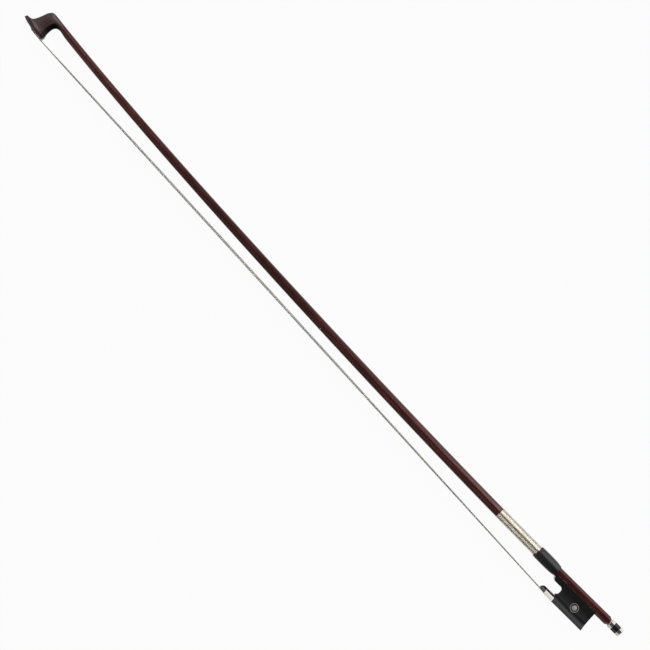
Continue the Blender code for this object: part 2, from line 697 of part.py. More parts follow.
def frog_outline():
    """The frog's side view without its tongue: front, throat, shoulder, bottom and hollow heel."""
    front = -FROG_FRONT
    corner = min(THROAT_CORNER, THROAT_HEIGHT / 2)
    across = front + THROAT_DEPTH - corner
    upper = (across, -THROAT_TOP - corner)
    lower = (across, -THROAT_TOP - THROAT_HEIGHT + corner)
    shoulder = -FERRULE_TO - 1.9 * MM
    points = [(front, -FROG_TOP), (front, -FRONT_CORNER)]
    lip = (front + LIP_SETBACK, -THROAT_TOP)
    points += [(front + 0.25 * LIP_SETBACK, -FRONT_CORNER - 0.45 * (THROAT_TOP - FRONT_CORNER)), lip]
    points += arc(upper, corner, 90, 0, 8) + arc(lower, corner, -2, -68, 6)
    points += [(shoulder, -FERRULE_TOP + FERRULE_WALL), (shoulder, -FROG_BOTTOM)]
    steps = 7
    for i in range(steps + 1):
        depth = FROG_BOTTOM + (FROG_TOP - FROG_BOTTOM) * i / steps
        share = (depth - FROG_TOP) / (FROG_BOTTOM - FROG_TOP)
        points.append((-FROG_HEEL_AT + FROG_HEEL_FLARE * share**2.5, -depth))
    return points


def ferrule_section(inset, underside):
    """The ferrule's section in (y, z): a flat underside, flared sides and an arched top."""
    foot = FERRULE_WIDTH / 2
    shoulder = FERRULE_SHOULDER_WIDTH / 2
    rise = FERRULE_SHOULDER - FERRULE_TOP
    arch = (shoulder**2 + rise**2) / (2 * rise)
    centre = FERRULE_TOP + arch
    radius = arch - inset

    flare_end = FERRULE_BOTTOM - FERRULE_FLAT

    def side(depth):
        share = min(1.0, (depth - FERRULE_SHOULDER) / (flare_end - FERRULE_SHOULDER))
        return shoulder + (foot - shoulder) * share - inset

    spring = math.asin(shoulder / arch)
    for _ in range(12):
        spring = math.asin(side(centre - radius * math.cos(spring)) / radius)
    steps = 12
    top = []
    for i in range(steps + 1):
        angle = spring * (1 - 2 * i / steps)
        top.append((radius * math.cos(angle) - centre, radius * math.sin(angle)))
    bend = min(flare_end, (underside + centre - radius * math.cos(spring)) / 2)
    flank = [(-underside, side(underside)), (-bend, side(bend))]
    return flank + top + [(y, -z) for y, z in reversed(flank)]


def eye_bar(radius, side, sides=ROUND):
    """A bar across one side of the frog at its eye, from the eye's bed outwards."""
    bed = frog_half_width(EYE_Y) - EYE_DEPTH
    middle = (-EYE_AT, -EYE_Y)
    return cylinder("eye", radius, (*middle, side * bed), (*middle, side * FROG_BOTTOM_WIDTH), sides)


def eye_tube(name, side, outer, inner, bed):
    """A ring round the eye of one side of the frog, from a bed outwards."""
    rings = []
    for radius, ends in ((outer, (bed, FROG_BOTTOM_WIDTH)), (inner, (FROG_BOTTOM_WIDTH, bed))):
        for end in ends:
            angles = [i * math.tau / ROUND for i in range(ROUND)]
            rings.append([
                (-EYE_AT + radius * math.cos(a), -EYE_Y + radius * math.sin(a), side * end) for a in angles
            ])
    return loft(name, rings, closed=True)


def make_frog():
    """The ebony frog with its throat, tongue, channel, mortise, slide track and inlay beds."""
    frog = place("frog", frog_blank(), EBONY, FROG_SLIDE)
    keep_inside(frog, prism("side", frog_outline(), "Z", -FROG_BOTTOM_WIDTH, FROG_BOTTOM_WIDTH))
    ferrule_room = prism(
        "room",
        ferrule_section(-FIT_GAP, FROG_BOTTOM + 1 * MM),
        "X",
        -FROG_FRONT,
        -FERRULE_TO + FIT_GAP,
    )
    cut(frog, ferrule_room)
    tongue = place(
        "tongue",
        prism(
            "tongue",
            ferrule_section(FERRULE_WALL + FIT_GAP, TONGUE_UNDERSIDE),
            "X",
            -FROG_FRONT - TONGUE_TIP,
            -FERRULE_TO - FIT_GAP,
        ),
    )
    root = prism(
        "root",
        ferrule_section(FERRULE_WALL + FIT_GAP + 0.7 * MM, TONGUE_UNDERSIDE - 0.2 * MM),
        "X",
        -FERRULE_TO - 2 * MM,
        -FERRULE_TO + 3 * MM,
    )
    fuse(tongue, root)
    tip = -FROG_FRONT - TONGUE_TIP
    slant = [
        Vector((tip - 1 * MM, -TONGUE_UNDERSIDE - 1 * MM)),
        Vector((tip - 1 * MM, 0)),
        Vector((tip + TONGUE_SLANT + 0.9 * MM, 0)),
        Vector((tip + TONGUE_SLANT + 0.9 * MM, -FERRULE_TOP - FERRULE_WALL)),
        Vector((tip + TONGUE_SLANT * 0.75, -FERRULE_TOP - 1.2 * MM)),
        Vector((tip, -TONGUE_UNDERSIDE)),
    ]
    cut(tongue, side_band("slant", slant))
    tongue_mesh = tongue.data
    bpy.data.objects.remove(tongue, do_unlink=True)
    fuse(frog, tongue_mesh)

    flats = 2 * (LINER_OUTSIDE + FIT_GAP)
    channel = loft(
        "channel",
        [
            [(x, octagon_radius(flats, a) * math.cos(a), octagon_radius(flats, a) * math.sin(a))
             for a in [(i + 0.5) * math.tau / 8 for i in range(8)]]
            for x in (-FROG_FRONT - 2 * MM, 0)
        ],
    )
    hair_half = HAIR_WIDTH_FROG / 2 + FIT_GAP
    hair_way = box(
        "hair_way",
        (-FERRULE_TO - 1 * MM, -HAIR_CHANNEL - HAIR_THICKNESS / 2 - RUN_GAP, -hair_half),
        (-FROG_MORTISE_AT + 1 * MM, -TONGUE_UNDERSIDE, hair_half),
    )
    mortise = box(
        "mortise",
        (-FROG_MORTISE_AT, -SLIDE_TOP - FIT_GAP, -FROG_MORTISE_WIDTH / 2),
        (-FROG_MORTISE_AT + FROG_MORTISE_LENGTH, -FROG_MORTISE_TOP, FROG_MORTISE_WIDTH / 2),
    )
    stem_hole = cylinder(
        "stem_hole",
        EYELET_STEM / 2 + FIT_GAP,
        (-EYELET_AT, 0, 0),
        (-EYELET_AT, -EYELET_STEM_END - FIT_GAP, 0),
        16,
    )
    pins = [
        cylinder("pin_hole", PIN_DIAMETER / 2 + FIT_GAP, (x, 0, 0), (x, pin_end() - FIT_GAP, 0), 12)
        for x in pin_places()
    ]
    cut(frog, channel, hair_way, mortise, slide_shape("track", 0), stem_hole, *pins)
    bed = frog_half_width(EYE_Y) - EYE_DEPTH
    inner = EYE_DIAMETER / 2 - EYE_RING
    for side in (-1, 1):
        ring_room = eye_tube("ring_room", side, EYE_DIAMETER / 2 + FIT_GAP, inner - FIT_GAP, bed)
        cut(frog, ring_room, eye_bar(pearl_radius() + FIT_GAP, side))
    return frog


def pearl_radius():
    return EYE_DIAMETER / 2 - EYE_RING - EYE_INNER_GAP


def make_eyes():
    """A metal ring and a pearl dot let into each side of the frog, flush with its flare."""
    bed = frog_half_width(EYE_Y) - EYE_DEPTH + FIT_GAP
    for side, word in ((1, "left"), (-1, "right")):
        tube = eye_tube("ring", side, EYE_DIAMETER / 2, EYE_DIAMETER / 2 - EYE_RING, bed)
        ring = place(f"eye_ring_{word}", tube, NICKEL_SILVER, FROG_SLIDE)
        dot = eye_bar(pearl_radius(), side)
        dot.transform(Matrix.Translation((0, 0, side * FIT_GAP)))
        pearl = place(f"eye_pearl_{word}", dot, PEARL, FROG_SLIDE)
        for inlay in (ring, pearl):
            keep_inside(inlay, frog_blank())


def slide_shape(name, shrink, low=FROG_BOTTOM + 1 * MM, high=SLIDE_TOP):
    """The dovetail of the slide between two depths, or by default its track."""
    depth = FROG_BOTTOM - SLIDE_TOP

    def half(level):
        return SLIDE_WIDTH / 2 - shrink + SLIDE_DOVETAIL * (FROG_BOTTOM - level) / depth

    outline = [(-low, half(low)), (-high, half(high)), (-high, -half(high)), (-low, -half(low))]
    front = -FERRULE_TO + 2 * shrink - FIT_GAP
    back = -FERRULE_TO + SLIDE_LENGTH - shrink
    return prism(name, outline, "X", front, back)


def make_slide():
    """The pearl slide on its ebony backing."""
    backing_low = SLIDE_TOP + FIT_GAP + BACKING_THICKNESS
    backing = slide_shape("slide_backing", FIT_GAP, backing_low, SLIDE_TOP + FIT_GAP)
    place("slide_backing", backing, EBONY, FROG_SLIDE)
    pearl = slide_shape("pearl_slide", FIT_GAP, FROG_BOTTOM, FROG_BOTTOM - PEARL_THICKNESS)
    place("pearl_slide", pearl, PEARL, FROG_SLIDE)


def make_frog_plug():
    """The maple plug behind the hair in the frog's mortise."""
    half = FROG_MORTISE_WIDTH / 2 - FIT_GAP
    plug = box(
        "frog_plug",
        (-FROG_MORTISE_AT + HAIR_THICKNESS + 3 * FIT_GAP, -SLIDE_TOP + FIT_GAP, -half),
        (-FROG_MORTISE_AT + FROG_MORTISE_LENGTH - FIT_GAP, -FROG_KNOT - BOUND_KNOT - FIT_GAP, half),
    )
    place("frog_plug", plug, MAPLE, FROG_SLIDE)


def make_ferrule():
    """The ferrule round the tongue and the hair, and the wedge that spreads the hair."""
    outside = ferrule_section(0, FERRULE_BOTTOM)
    inside = ferrule_section(FERRULE_WALL, FERRULE_FLOOR)
    ends = (-FERRULE_FROM, -FERRULE_TO)
    rings = [[(x, y, z) for y, z in outside] for x in ends]
    rings += [[(x, y, z) for y, z in inside] for x in reversed(ends)]
    place("ferrule", loft("ferrule", rings, closed=True), NICKEL_SILVER, FROG_SLIDE)
    front = -FROG_FRONT - TONGUE_TIP
    wedge = box(
        "ferrule_wedge",
        (front, -TONGUE_UNDERSIDE - FIT_GAP - WEDGE_THICKNESS, -WEDGE_WIDTH / 2),
        (front + WEDGE_LENGTH, -TONGUE_UNDERSIDE - FIT_GAP, WEDGE_WIDTH / 2),
    )
    place("ferrule_wedge", wedge, WEDGE_WOOD, FROG_SLIDE)


def pin_places():
    """The two pins of the underslide along the frog."""
    return (-FROG_FRONT + PIN_INSET, -FROG_HEEL_AT - PIN_INSET)


def pin_end():
    return -LINER_INSIDE - PIN_LENGTH


def make_underslide():
    """The metal liner on the frog's three upper facets, its two pins, and the eyelet."""
    corner = math.radians(22.5)

    edge = FROG_TOP - UNDERSLIDE_RISE

    def facets(apothem):
        half = apothem * math.tan(corner)
        side = apothem * math.sqrt(2) - edge
        return [(-edge, side), (-apothem, half), (-apothem, -half), (-edge, -side)]

    outline = facets(LINER_OUTSIDE) + facets(LINER_INSIDE)[::-1]
    ends = (-FROG_FRONT + UNDERSLIDE_SETBACK, -FROG_HEEL_AT - UNDERSLIDE_SETBACK)
    liner = place("underslide", prism("underslide", outline, "X", *ends), NICKEL_SILVER, FROG_SLIDE)
    holes = [
        cylinder("hole", PIN_DIAMETER / 2 + FIT_GAP, (x, 0, 0), (x, -2 * LINER_OUTSIDE, 0), 12)
        for x in pin_places()
    ]
    stem = cylinder(
        "stem", EYELET_STEM / 2 + FIT_GAP, (-EYELET_AT, 0, 0), (-EYELET_AT, -2 * LINER_OUTSIDE, 0), 16
    )
    cut(liner, stem, *holes)
    for name, x in zip(("underslide_pin_front", "underslide_pin_rear"), pin_places()):
        pin = cylinder(name, PIN_DIAMETER / 2, (x, -LINER_INSIDE - 0.05 * MM, 0), (x, pin_end(), 0), 12)
        place(name, pin, NICKEL_SILVER, FROG_SLIDE)


def make_eyelet():
    """The brass nut that the screw turns in, on a stem screwed into the frog."""
    block = box(
        "eyelet",
        (-EYELET_AT - EYELET_LENGTH / 2, -HANDLE_FLATS / 2, -EYELET_WIDTH / 2),
        (-EYELET_AT + EYELET_LENGTH / 2, EYELET_TOP, EYELET_WIDTH / 2),
    )
    eyelet = place("eyelet", block, BRASS, FROG_SLIDE)
    stem = cylinder(
        "stem",
        EYELET_STEM / 2,
        (-EYELET_AT, -HANDLE_FLATS / 2 + 1 * MM, 0),
        (-EYELET_AT, -EYELET_STEM_END, 0),
        16,
    )
    fuse(eyelet, stem)
    cut(eyelet, cylinder("bore", BORE_RADIUS, (-EYELET_AT - 5 * MM, 0, 0), (-EYELET_AT + 5 * MM, 0, 0), 16))
    return eyelet


def turned(name, profile, sides=16):
    """A piece turned about the screw's axis from (distance, radius) points, closed at both ends."""
    rings = []
    for distance, radius in profile:
        angles = [(i + 0.5) * math.tau / sides for i in range(sides)]
        rings.append([stick_point(distance, angle, radius) for angle in angles])
    return loft(name, rings)


def make_screw():
    """The screw: a plain shank into the button and a grooved thread that carries the eyelet."""
    radius = SCREW_DIAMETER / 2
    button_end = -(RUN_GAP + COLLAR_LENGTH + FIT_GAP + BARREL_BORE)
    thread_end = SCREW_REACH - SCREW_TIP
    profile = [(button_end, radius), (SCREW_REACH - THREAD_LENGTH, radius)]
    grooves = 12
    for i in range(grooves):
        start = SCREW_REACH - THREAD_LENGTH + i * (THREAD_LENGTH - SCREW_TIP) / grooves
        profile += [(start + 2 * THREAD_PITCH * 0.6, radius - THREAD_DEPTH)]
        profile += [(start + 2 * THREAD_PITCH, radius)]
    profile += [(thread_end + 0.2 * MM, radius), (SCREW_REACH, radius * 0.6)]
    place("screw", turned("screw", profile), STEEL, SCREW_AXIS)


def button_piece(name, start, length, front_chamfer, end_chamfer, finish):
    """One octagonal length of the button, from a distance past the stick's tail end."""
    stations = []
    narrow = BUTTON_FLATS - 2 * BUTTON_CHAMFER
    if front_chamfer:
        stations += [(start, narrow), (start + BUTTON_CHAMFER, BUTTON_FLATS)]
    else:
        stations += [(start, BUTTON_FLATS)]
    if end_chamfer:
        stations += [(start + length - BUTTON_CHAMFER, BUTTON_FLATS), (start + length, narrow)]
    else:
        stations += [(start + length, BUTTON_FLATS)]
    rings = [octagon_ring(-distance, flats, 8) for distance, flats in stations]
    return place(name, loft(name, rings), finish, SCREW_AXIS)


def make_button():
    """The three-part octagonal button: collar, ebony barrel and cap."""
    collar_at = RUN_GAP
    barrel_at = collar_at + COLLAR_LENGTH + FIT_GAP
    cap_at = barrel_at + BARREL_LENGTH + FIT_GAP
    collar = button_piece("button_collar", collar_at, COLLAR_LENGTH, True, False, NICKEL_SILVER)
    recess = cylinder(
        "recess",
        NIPPLE_DIAMETER / 2 + RUN_GAP,
        (-1 * MM, 0, 0),
        (NIPPLE_LENGTH + RUN_GAP, 0, 0),
        STICK_SIDES,
    )
    way = cylinder("way", SCREW_DIAMETER / 2 + FIT_GAP, (-1 * MM, 0, 0), (barrel_at, 0, 0), 16)
    cut(collar, recess, way)
    barrel = button_piece("button_barrel", barrel_at, BARREL_LENGTH, False, False, EBONY)
    seat = cylinder(
        "seat",
        SCREW_DIAMETER / 2 + FIT_GAP,
        (barrel_at - 1 * MM, 0, 0),
        (barrel_at + BARREL_BORE + FIT_GAP, 0, 0),
        16,
    )
    cut(barrel, seat)
    button_piece("button_cap", cap_at, CAP_LENGTH, False, True, NICKEL_SILVER)


def make_winding():
    """The lapping: one unbroken flat wire round a plain sleeve. Prints its least gap to itself."""
    inner = SHAFT_RADIUS + FIT_GAP / 2
    core = inner + WINDING_CORE
    spans = 4
    length = WINDING_TO - WINDING_FROM
    stations = [(WINDING_FROM + length * i / spans, core, inner) for i in range(spans + 1)]
    place("winding_core", sleeve("winding_core", stations), NICKEL_SILVER, BOW)
    low = core + FIT_GAP / 2
    pitch = (length - WIRE_WIDTH) / WINDING_TURNS
    section = ((-0.5, 0.0), (-0.32, 1.0), (0.32, 1.0), (0.5, 0.0))
    rings = []
    for i in range(WINDING_TURNS * WINDING_STEPS + 1):
        turns = (i + 0.5) / WINDING_STEPS
        middle = WINDING_FROM + WIRE_WIDTH / 2 + pitch * turns
        ring = []
        for along, out in section:
            distance = middle + along * WIRE_WIDTH
            ring.append(stick_point(distance, turns * math.tau, low + out * WIRE_THICKNESS))
        rings.append(ring)
    points = np.array([[list(point) for point in ring] for ring in rings])
    before = points[:-WINDING_STEPS]
    after = points[WINDING_STEPS:]
    gaps = np.linalg.norm(before[:, :, None] - after[:, None, :], axis=-1)
    print(f"winding: {WINDING_TURNS} loops, least gap to itself {gaps.min() / MM:.2f} mm")
    place("winding_wire", loft("winding_wire", rings), NICKEL_SILVER, BOW)


def make_grip():
    """The leather thumb grip, skived thin at the frog's end and lapped over the winding."""
    bore = SHAFT_RADIUS + FIT_GAP
    over_wire = SHAFT_RADIUS + WINDING_CORE + WIRE_THICKNESS + 2.5 * FIT_GAP
    outer = GRIP_DIAMETER / 2
    lap = WINDING_FROM - RUN_GAP
    stations = [
        (GRIP_FROM, GRIP_END_DIAMETER / 2, bore),
        (GRIP_FROM + GRIP_TAPER * 0.5, outer - 0.2 * MM, bore),
        (GRIP_FROM + GRIP_TAPER, outer, bore),
        (lap, outer, bore),
        (lap, outer, over_wire),
        (GRIP_TO, outer - 0.1 * MM, over_wire),
    ]
    outside = [round_ring(distance, radius) for distance, radius, _ in stations if distance != lap]
    inside = [round_ring(distance, radius) for distance, _, radius in reversed(stations)]
    place("thumb_grip", loft("thumb_grip", outside + inside, closed=True), LEATHER, BOW)


def stand_on_ground():
    """Move the whole bow so that the ground is at Z 0 and the bow's middle is over the origin."""
    bpy.context.view_layer.update()
    corners = [
        np.array(piece.matrix_world @ vertex.co)
        for piece in COLLECTION.objects
        if piece.type == "MESH"
        for vertex in piece.data.vertices
    ]
    low, high = np.min(corners, axis=0), np.max(corners, axis=0)
    BOW.location = (-(low[0] + high[0]) / 2, -(low[1] + high[1]) / 2, -low[2])
    bpy.context.view_layer.update()


make_stick()
make_plate()
make_head_plug()
make_hair()
make_knot_threads()
make_frog()
make_eyes()
make_slide()
make_frog_plug()
make_ferrule()
make_underslide()
make_eyelet()
make_screw()
make_button()
make_winding()
make_grip()
stand_on_ground()
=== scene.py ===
import math
import random

import bpy
from mathutils import Matrix, Vector


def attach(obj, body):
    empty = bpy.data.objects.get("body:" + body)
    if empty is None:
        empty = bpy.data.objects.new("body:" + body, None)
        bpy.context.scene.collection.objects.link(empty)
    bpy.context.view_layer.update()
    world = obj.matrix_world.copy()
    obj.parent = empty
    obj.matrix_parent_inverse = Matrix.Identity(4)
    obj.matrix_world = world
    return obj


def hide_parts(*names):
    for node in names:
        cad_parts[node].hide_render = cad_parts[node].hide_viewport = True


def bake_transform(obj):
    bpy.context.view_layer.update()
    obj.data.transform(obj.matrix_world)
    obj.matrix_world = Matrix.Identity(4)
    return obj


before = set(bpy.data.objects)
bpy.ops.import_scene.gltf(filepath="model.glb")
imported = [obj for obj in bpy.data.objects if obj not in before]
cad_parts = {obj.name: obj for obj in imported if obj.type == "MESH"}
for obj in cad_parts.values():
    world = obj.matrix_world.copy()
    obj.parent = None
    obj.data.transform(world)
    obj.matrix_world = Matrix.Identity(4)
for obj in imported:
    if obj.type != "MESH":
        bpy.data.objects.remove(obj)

# A violin bow lying on its side: the stick with its carved head and octagonal handle, the wire
# winding and leather grip, the ebony frog with its ferrule and inlays, the silver button and the hair.
# Lengths are in millimetres in the bow's own frame: x runs from the tip to the button with zero at the
# stick's tail end, y points away from the hair, and z runs across, up from the table.

MM = 0.001
ORIGIN = Vector((0.3588794, -0.0082239, 0.0067))

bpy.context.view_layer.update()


def row(x, y, z):
    """A point of the bow's frame in the model's frame, in metres."""
    return ORIGIN + Vector((x, y, z)) * MM


# Stick
HANDLE_FLATS = 8.4
NIPPLE_PROFILE = ((-1.7, 2.3), (-1.5, 2.5), (-0.05, 2.5))  # distances and radii
TAIL_CHAMFER = ((0.0, 6.0), (0.15, 6.3), (2.05, 8.2), (2.35, HANDLE_FLATS))  # distances and flats
HANDLE_FROM = 3.4
HANDLE_STEP = 9.7  # between the rings of its skin
HANDLE_RINGS = 10
ROUNDING_FROM = 91.5  # where the octagon turns into the round shaft
ROUNDING_STEP = 0.8
ROUNDING_RINGS = 7
SEAT_RADIUS = 4.55  # of the shaft under the winding
SEAT_AT = (97.0, 116.0, 133.0)
SHAFT_FROM = 134.5
SHAFT_STEP = 10.15
SHAFT_RINGS = 56
SHAFT_DIAMETER = 9.6
TAPER_FROM = 140.0
TAPER_POWER = 1.45
NECK_AT = 700.0
NECK_DIAMETER = 6.7
CAMBER_FROM = 50.0
CAMBER_RISE = 30.7
CAMBER_POWER = 1.65
TIP_RISE = 4.1  # what the last stretch adds to the camber
TIP_POWER = 7.65
TIP_LIFT = 0.2  # a straight rise of the whole camber
STICK_SIDES = 24
ACROSS = Vector((0, 0, 1))

# Head: places along it and across it, and heights over the plate's face
HEAD_AT = 706.8
HEAD_Y = 14.75
HEAD_TURN = math.radians(-6.48)
# Painted shade: these two place the arc of the near-black band painted behind the head
SHADE_MIDDLE = 10.0  # height of the hollow's deepest point
SHADE_RADIUS = 21.8
PLATE_LENGTH = 25.4
PLATE_FLAT = 13.0  # from the rear corner, then curved up to the nose
PLATE_RADIUS = 45.0
PLATE_FACE = -0.3
PLATE_REAR_LEAN = 0.05  # of its ends, for each millimetre of height
PLATE_NOSE_LEAN = 0.35
NOSE_HALF_WIDTH = 0.2
PLATE_SEAT = ((2.0, 0.0), (1.7, 0.0), (1.62, 0.08))  # heights and insets of the wood's last rings
PLATE_LAYERS = {
    "tip_plate": ("head_plate", ((0.0, 0.2), (0.12, 0.0), (0.92, 0.0), (1.0, 0.06))),
    "tip_plate_liner": ("head_plate_liner", ((1.06, 0.05), (1.1, 0.0), (1.55, 0.0), (1.6, 0.04))),
}
PLUG_PROUD = 0.35
MORTISE_CORNERS = ((-8.0, 3.2), (-8.0, -3.2), (-15.0, -1.98), (-15.0, 1.98))  # along and across the head
MORTISE_FROM = -1.0
MORTISE_TO = 5.6
BORE_ENDS = ((5.0, 0.0, 0.0), (-64.0, 0.0, 0.0))
BORE_RADIUS = 1.5
EYELET_SLOT = ((-41.0, -8.4, -2.5), (-25.4, 2.7, 2.5))


# Making things


def clear_selection():
    """Leave edit mode and select nothing."""
    if bpy.context.object and bpy.context.object.mode != "OBJECT":
        bpy.ops.object.mode_set(mode="OBJECT")
    bpy.ops.object.select_all(action="DESELECT")


clear_selection()


def take(name):
    """Name the object just made."""
    piece = bpy.context.object
    piece.name = name
    piece.data.name = name
    return piece


def only(piece):
    """Select one piece alone."""
    clear_selection()
    piece.select_set(True)
    bpy.context.view_layer.objects.active = piece


def apply_modifier(piece, kind, **settings):
    """Give a piece a modifier and apply it."""
    only(piece)
    modifier = piece.modifiers.new(kind.title(), kind)
    for setting, value in settings.items():
        setattr(modifier, setting, value)
    bpy.ops.object.modifier_apply(modifier=modifier.name)


def smooth(piece, degrees):
    """Shade a piece smooth where its faces meet at less than an angle."""
    only(piece)
    bpy.ops.object.shade_smooth_by_angle(angle=math.radians(degrees))


def finish(piece, surface, body, *nodes):
    """Give a piece its material and its body, and let it stand for CAD nodes."""
    piece.data.materials.clear()
    piece.data.materials.append(surface)
    if body:
        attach(piece, body)
    if nodes:
        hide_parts(*nodes)


def rolled(name, rings, closed=False):
    """A grid rolled into a tube through rings of points in the bow's frame, capped unless it closes."""
    clear_selection()
    count = len(rings[0])
    rounds = len(rings) + (1 if closed else 0)
    bpy.ops.mesh.primitive_grid_add(x_subdivisions=count, y_subdivisions=rounds - 1, size=1)
    piece = take(name)
    flat = []
    for step in range(rounds):
        ring = rings[step % len(rings)]
        for i in range(count + 1):
            flat.extend(row(*ring[i % count]))
    piece.data.vertices.foreach_set("co", flat)
    bpy.ops.object.mode_set(mode="EDIT")
    bpy.ops.mesh.select_all(action="SELECT")
    bpy.ops.mesh.remove_doubles(threshold=1e-7)
    if not closed:
        bpy.ops.mesh.select_all(action="DESELECT")
        bpy.ops.mesh.select_mode(type="EDGE")
        bpy.ops.mesh.select_non_manifold()
        bpy.ops.mesh.edge_face_add()
    bpy.ops.mesh.select_all(action="SELECT")
    bpy.ops.mesh.normals_make_consistent(inside=False)
    bpy.ops.object.mode_set(mode="OBJECT")
    return piece


# Finishes


def linear(code):
    """A colour given as sRGB hex, as the shader wants it."""
    parts = [int(code[i : i + 2], 16) / 255 for i in (1, 3, 5)]
    return tuple(p / 12.92 if p <= 0.04045 else ((p + 0.055) / 1.055) ** 2.4 for p in parts) + (1.0,)


def fill(tree, node, sockets):
    """Give a node's sockets their values, or links from other sockets or from other nodes' first outputs."""
    for socket, value in sockets.items():
        if isinstance(value, bpy.types.Node):
            value = value.outputs[0]
        if isinstance(value, bpy.types.NodeSocket):
            tree.links.new(value, node.inputs[socket])
        else:
            node.inputs[socket].default_value = value


def add(tree, kind, sockets=None, **settings):
    """Add a node with its settings and what its sockets hold."""
    node = tree.nodes.new(kind)
    for setting, value in settings.items():
        setattr(node, setting, value)
    fill(tree, node, sockets or {})
    return node


def maths(tree, operation, *values):
    """A Math node on its one or two values."""
    return add(tree, "ShaderNodeMath", dict(enumerate(values)), operation=operation)


def ramp(tree, value, start, end, low=0.0, high=1.0):
    """A Map Range node, low up to the start and high from the end on."""
    sockets = {"Value": value, "From Min": start, "From Max": end, "To Min": low, "To Max": high}
    return add(tree, "ShaderNodeMapRange", sockets)


def mix(tree, share, first, second, blend_type="MIX"):
    """The colour that a Mix node makes of two."""
    sockets = {0: share, 6: first, 7: second}
    return add(tree, "ShaderNodeMix", sockets, data_type="RGBA", blend_type=blend_type).outputs[2]


def colours(tree, figure, stops):
    """A Color Ramp node over a pattern, with its stops as (place, hex)."""
    node = add(tree, "ShaderNodeValToRGB", {"Fac": figure})
    elements = node.color_ramp.elements
    for number, (where, code) in enumerate(stops):
        element = elements[number] if number < 2 else elements.new(where)
        element.position = where
        element.color = linear(code)
    return node


def new_finish(name, **sockets):
    """A Principled material with its constant values set on the shader."""
    surface = bpy.data.materials.new(name)
    surface.use_nodes = True
    tree = surface.node_tree
    shader = tree.nodes["Principled BSDF"]
    fill(tree, shader, {socket.replace("_", " "): value for socket, value in sockets.items()})
    return surface, tree, shader


def pattern(tree, per_metre, detail, roughness):
    """Clouds or streaks fixed to the piece, so many a metre along x, y and z: 500 is one every 2 mm."""
    place = add(tree, "ShaderNodeTexCoord").outputs["Object"]
    scaled = add(tree, "ShaderNodeMapping", {"Vector": place, "Scale": per_metre})
    sockets = {"Vector": scaled, "Scale": 1.0, "Detail": detail, "Roughness": roughness}
    return add(tree, "ShaderNodeTexNoise", sockets)


def figured(name, per_metre, detail, roughness, stops, gloss, **sockets):
    """A finish whose colour and gloss follow one pattern, with its constant values on the shader."""
    surface, tree, shader = new_finish(name, **sockets)
    figure = pattern(tree, per_metre, detail, roughness)
    colour = colours(tree, figure, stops)
    rough = ramp(tree, figure, 0.0, 1.0, *gloss)
    fill(tree, shader, {"Base Color": colour, "Roughness": rough})
    return surface, tree, shader, figure


def brazilwood():
    """Dense red-brown bow wood under thin spirit varnish: long fine grain, short dark pores, soft gloss."""
    surface, tree, shader = new_finish("varnished_brazilwood", IOR=1.5)
    # Grain streaks 22 mm long and 2 mm wide, and pores 2.4 mm long and 0.3 mm wide. The real ones are
    # about half as wide and wouldn't show.
    grain = pattern(tree, (45, 520, 520), 5.0, 0.55)
    stops = ((0.28, "#351612"), (0.5, "#4e1f1a"), (0.72, "#693028"))
    colour = colours(tree, grain, stops)
    pores = pattern(tree, (420, 3600, 3600), 2.0, 0.6)
    dark = colours(tree, pores, ((0.36, "#7d7d7d"), (0.47, "#ffffff")))
    wood = mix(tree, 1.0, colour, dark, "MULTIPLY")
    # The stretch that lies 0.08 m to the tip side of the middle is the darkest.
    place = add(tree, "ShaderNodeTexCoord").outputs["Object"]
    along = add(tree, "ShaderNodeSeparateXYZ", {"Vector": place}).outputs["X"]
    shifted = maths(tree, "ADD", along, 0.08)
    from_dark = maths(tree, "ABSOLUTE", shifted)
    tone = ramp(tree, from_dark, 0.05, 0.2, 0.6, 1.0)
    toned = mix(tree, 1.0, wood, tone, "MULTIPLY")
    # The head is dusky, its gloss rubbed down and less red.
    in_head = ramp(tree, along, -0.340, -0.348, 0.0, 0.95)
    dusky = mix(tree, in_head, toned, linear("#2f1d1a"))
    tint = mix(tree, in_head, linear("#ffdfdd"), linear("#fff3f1"))
    rubbed = maths(tree, "MULTIPLY", in_head, 0.14)
    gloss = ramp(tree, grain, 0.0, 1.0, 0.16, 0.26)
    rough = maths(tree, "ADD", gloss, rubbed)
    # Painted shade: the facets behind the head and under the neck are coloured nearly black and lose most of
    # their gloss, standing in for shade there.
    painted_shade = painted_hollow_shade(tree, place, along)
    facet = mix(tree, painted_shade, dusky, linear("#0d0908"))
    shine = ramp(tree, painted_shade, 0.0, 1.0, 0.5, 0.12)
    bump = add(tree, "ShaderNodeBump", {"Height": pores, "Strength": 0.2, "Distance": 0.02 * MM})
    fill(tree, shader, {"Base Color": facet, "Specular Tint": tint, "Specular IOR Level": shine})
    fill(tree, shader, {"Roughness": rough, "Normal": bump})
    return surface


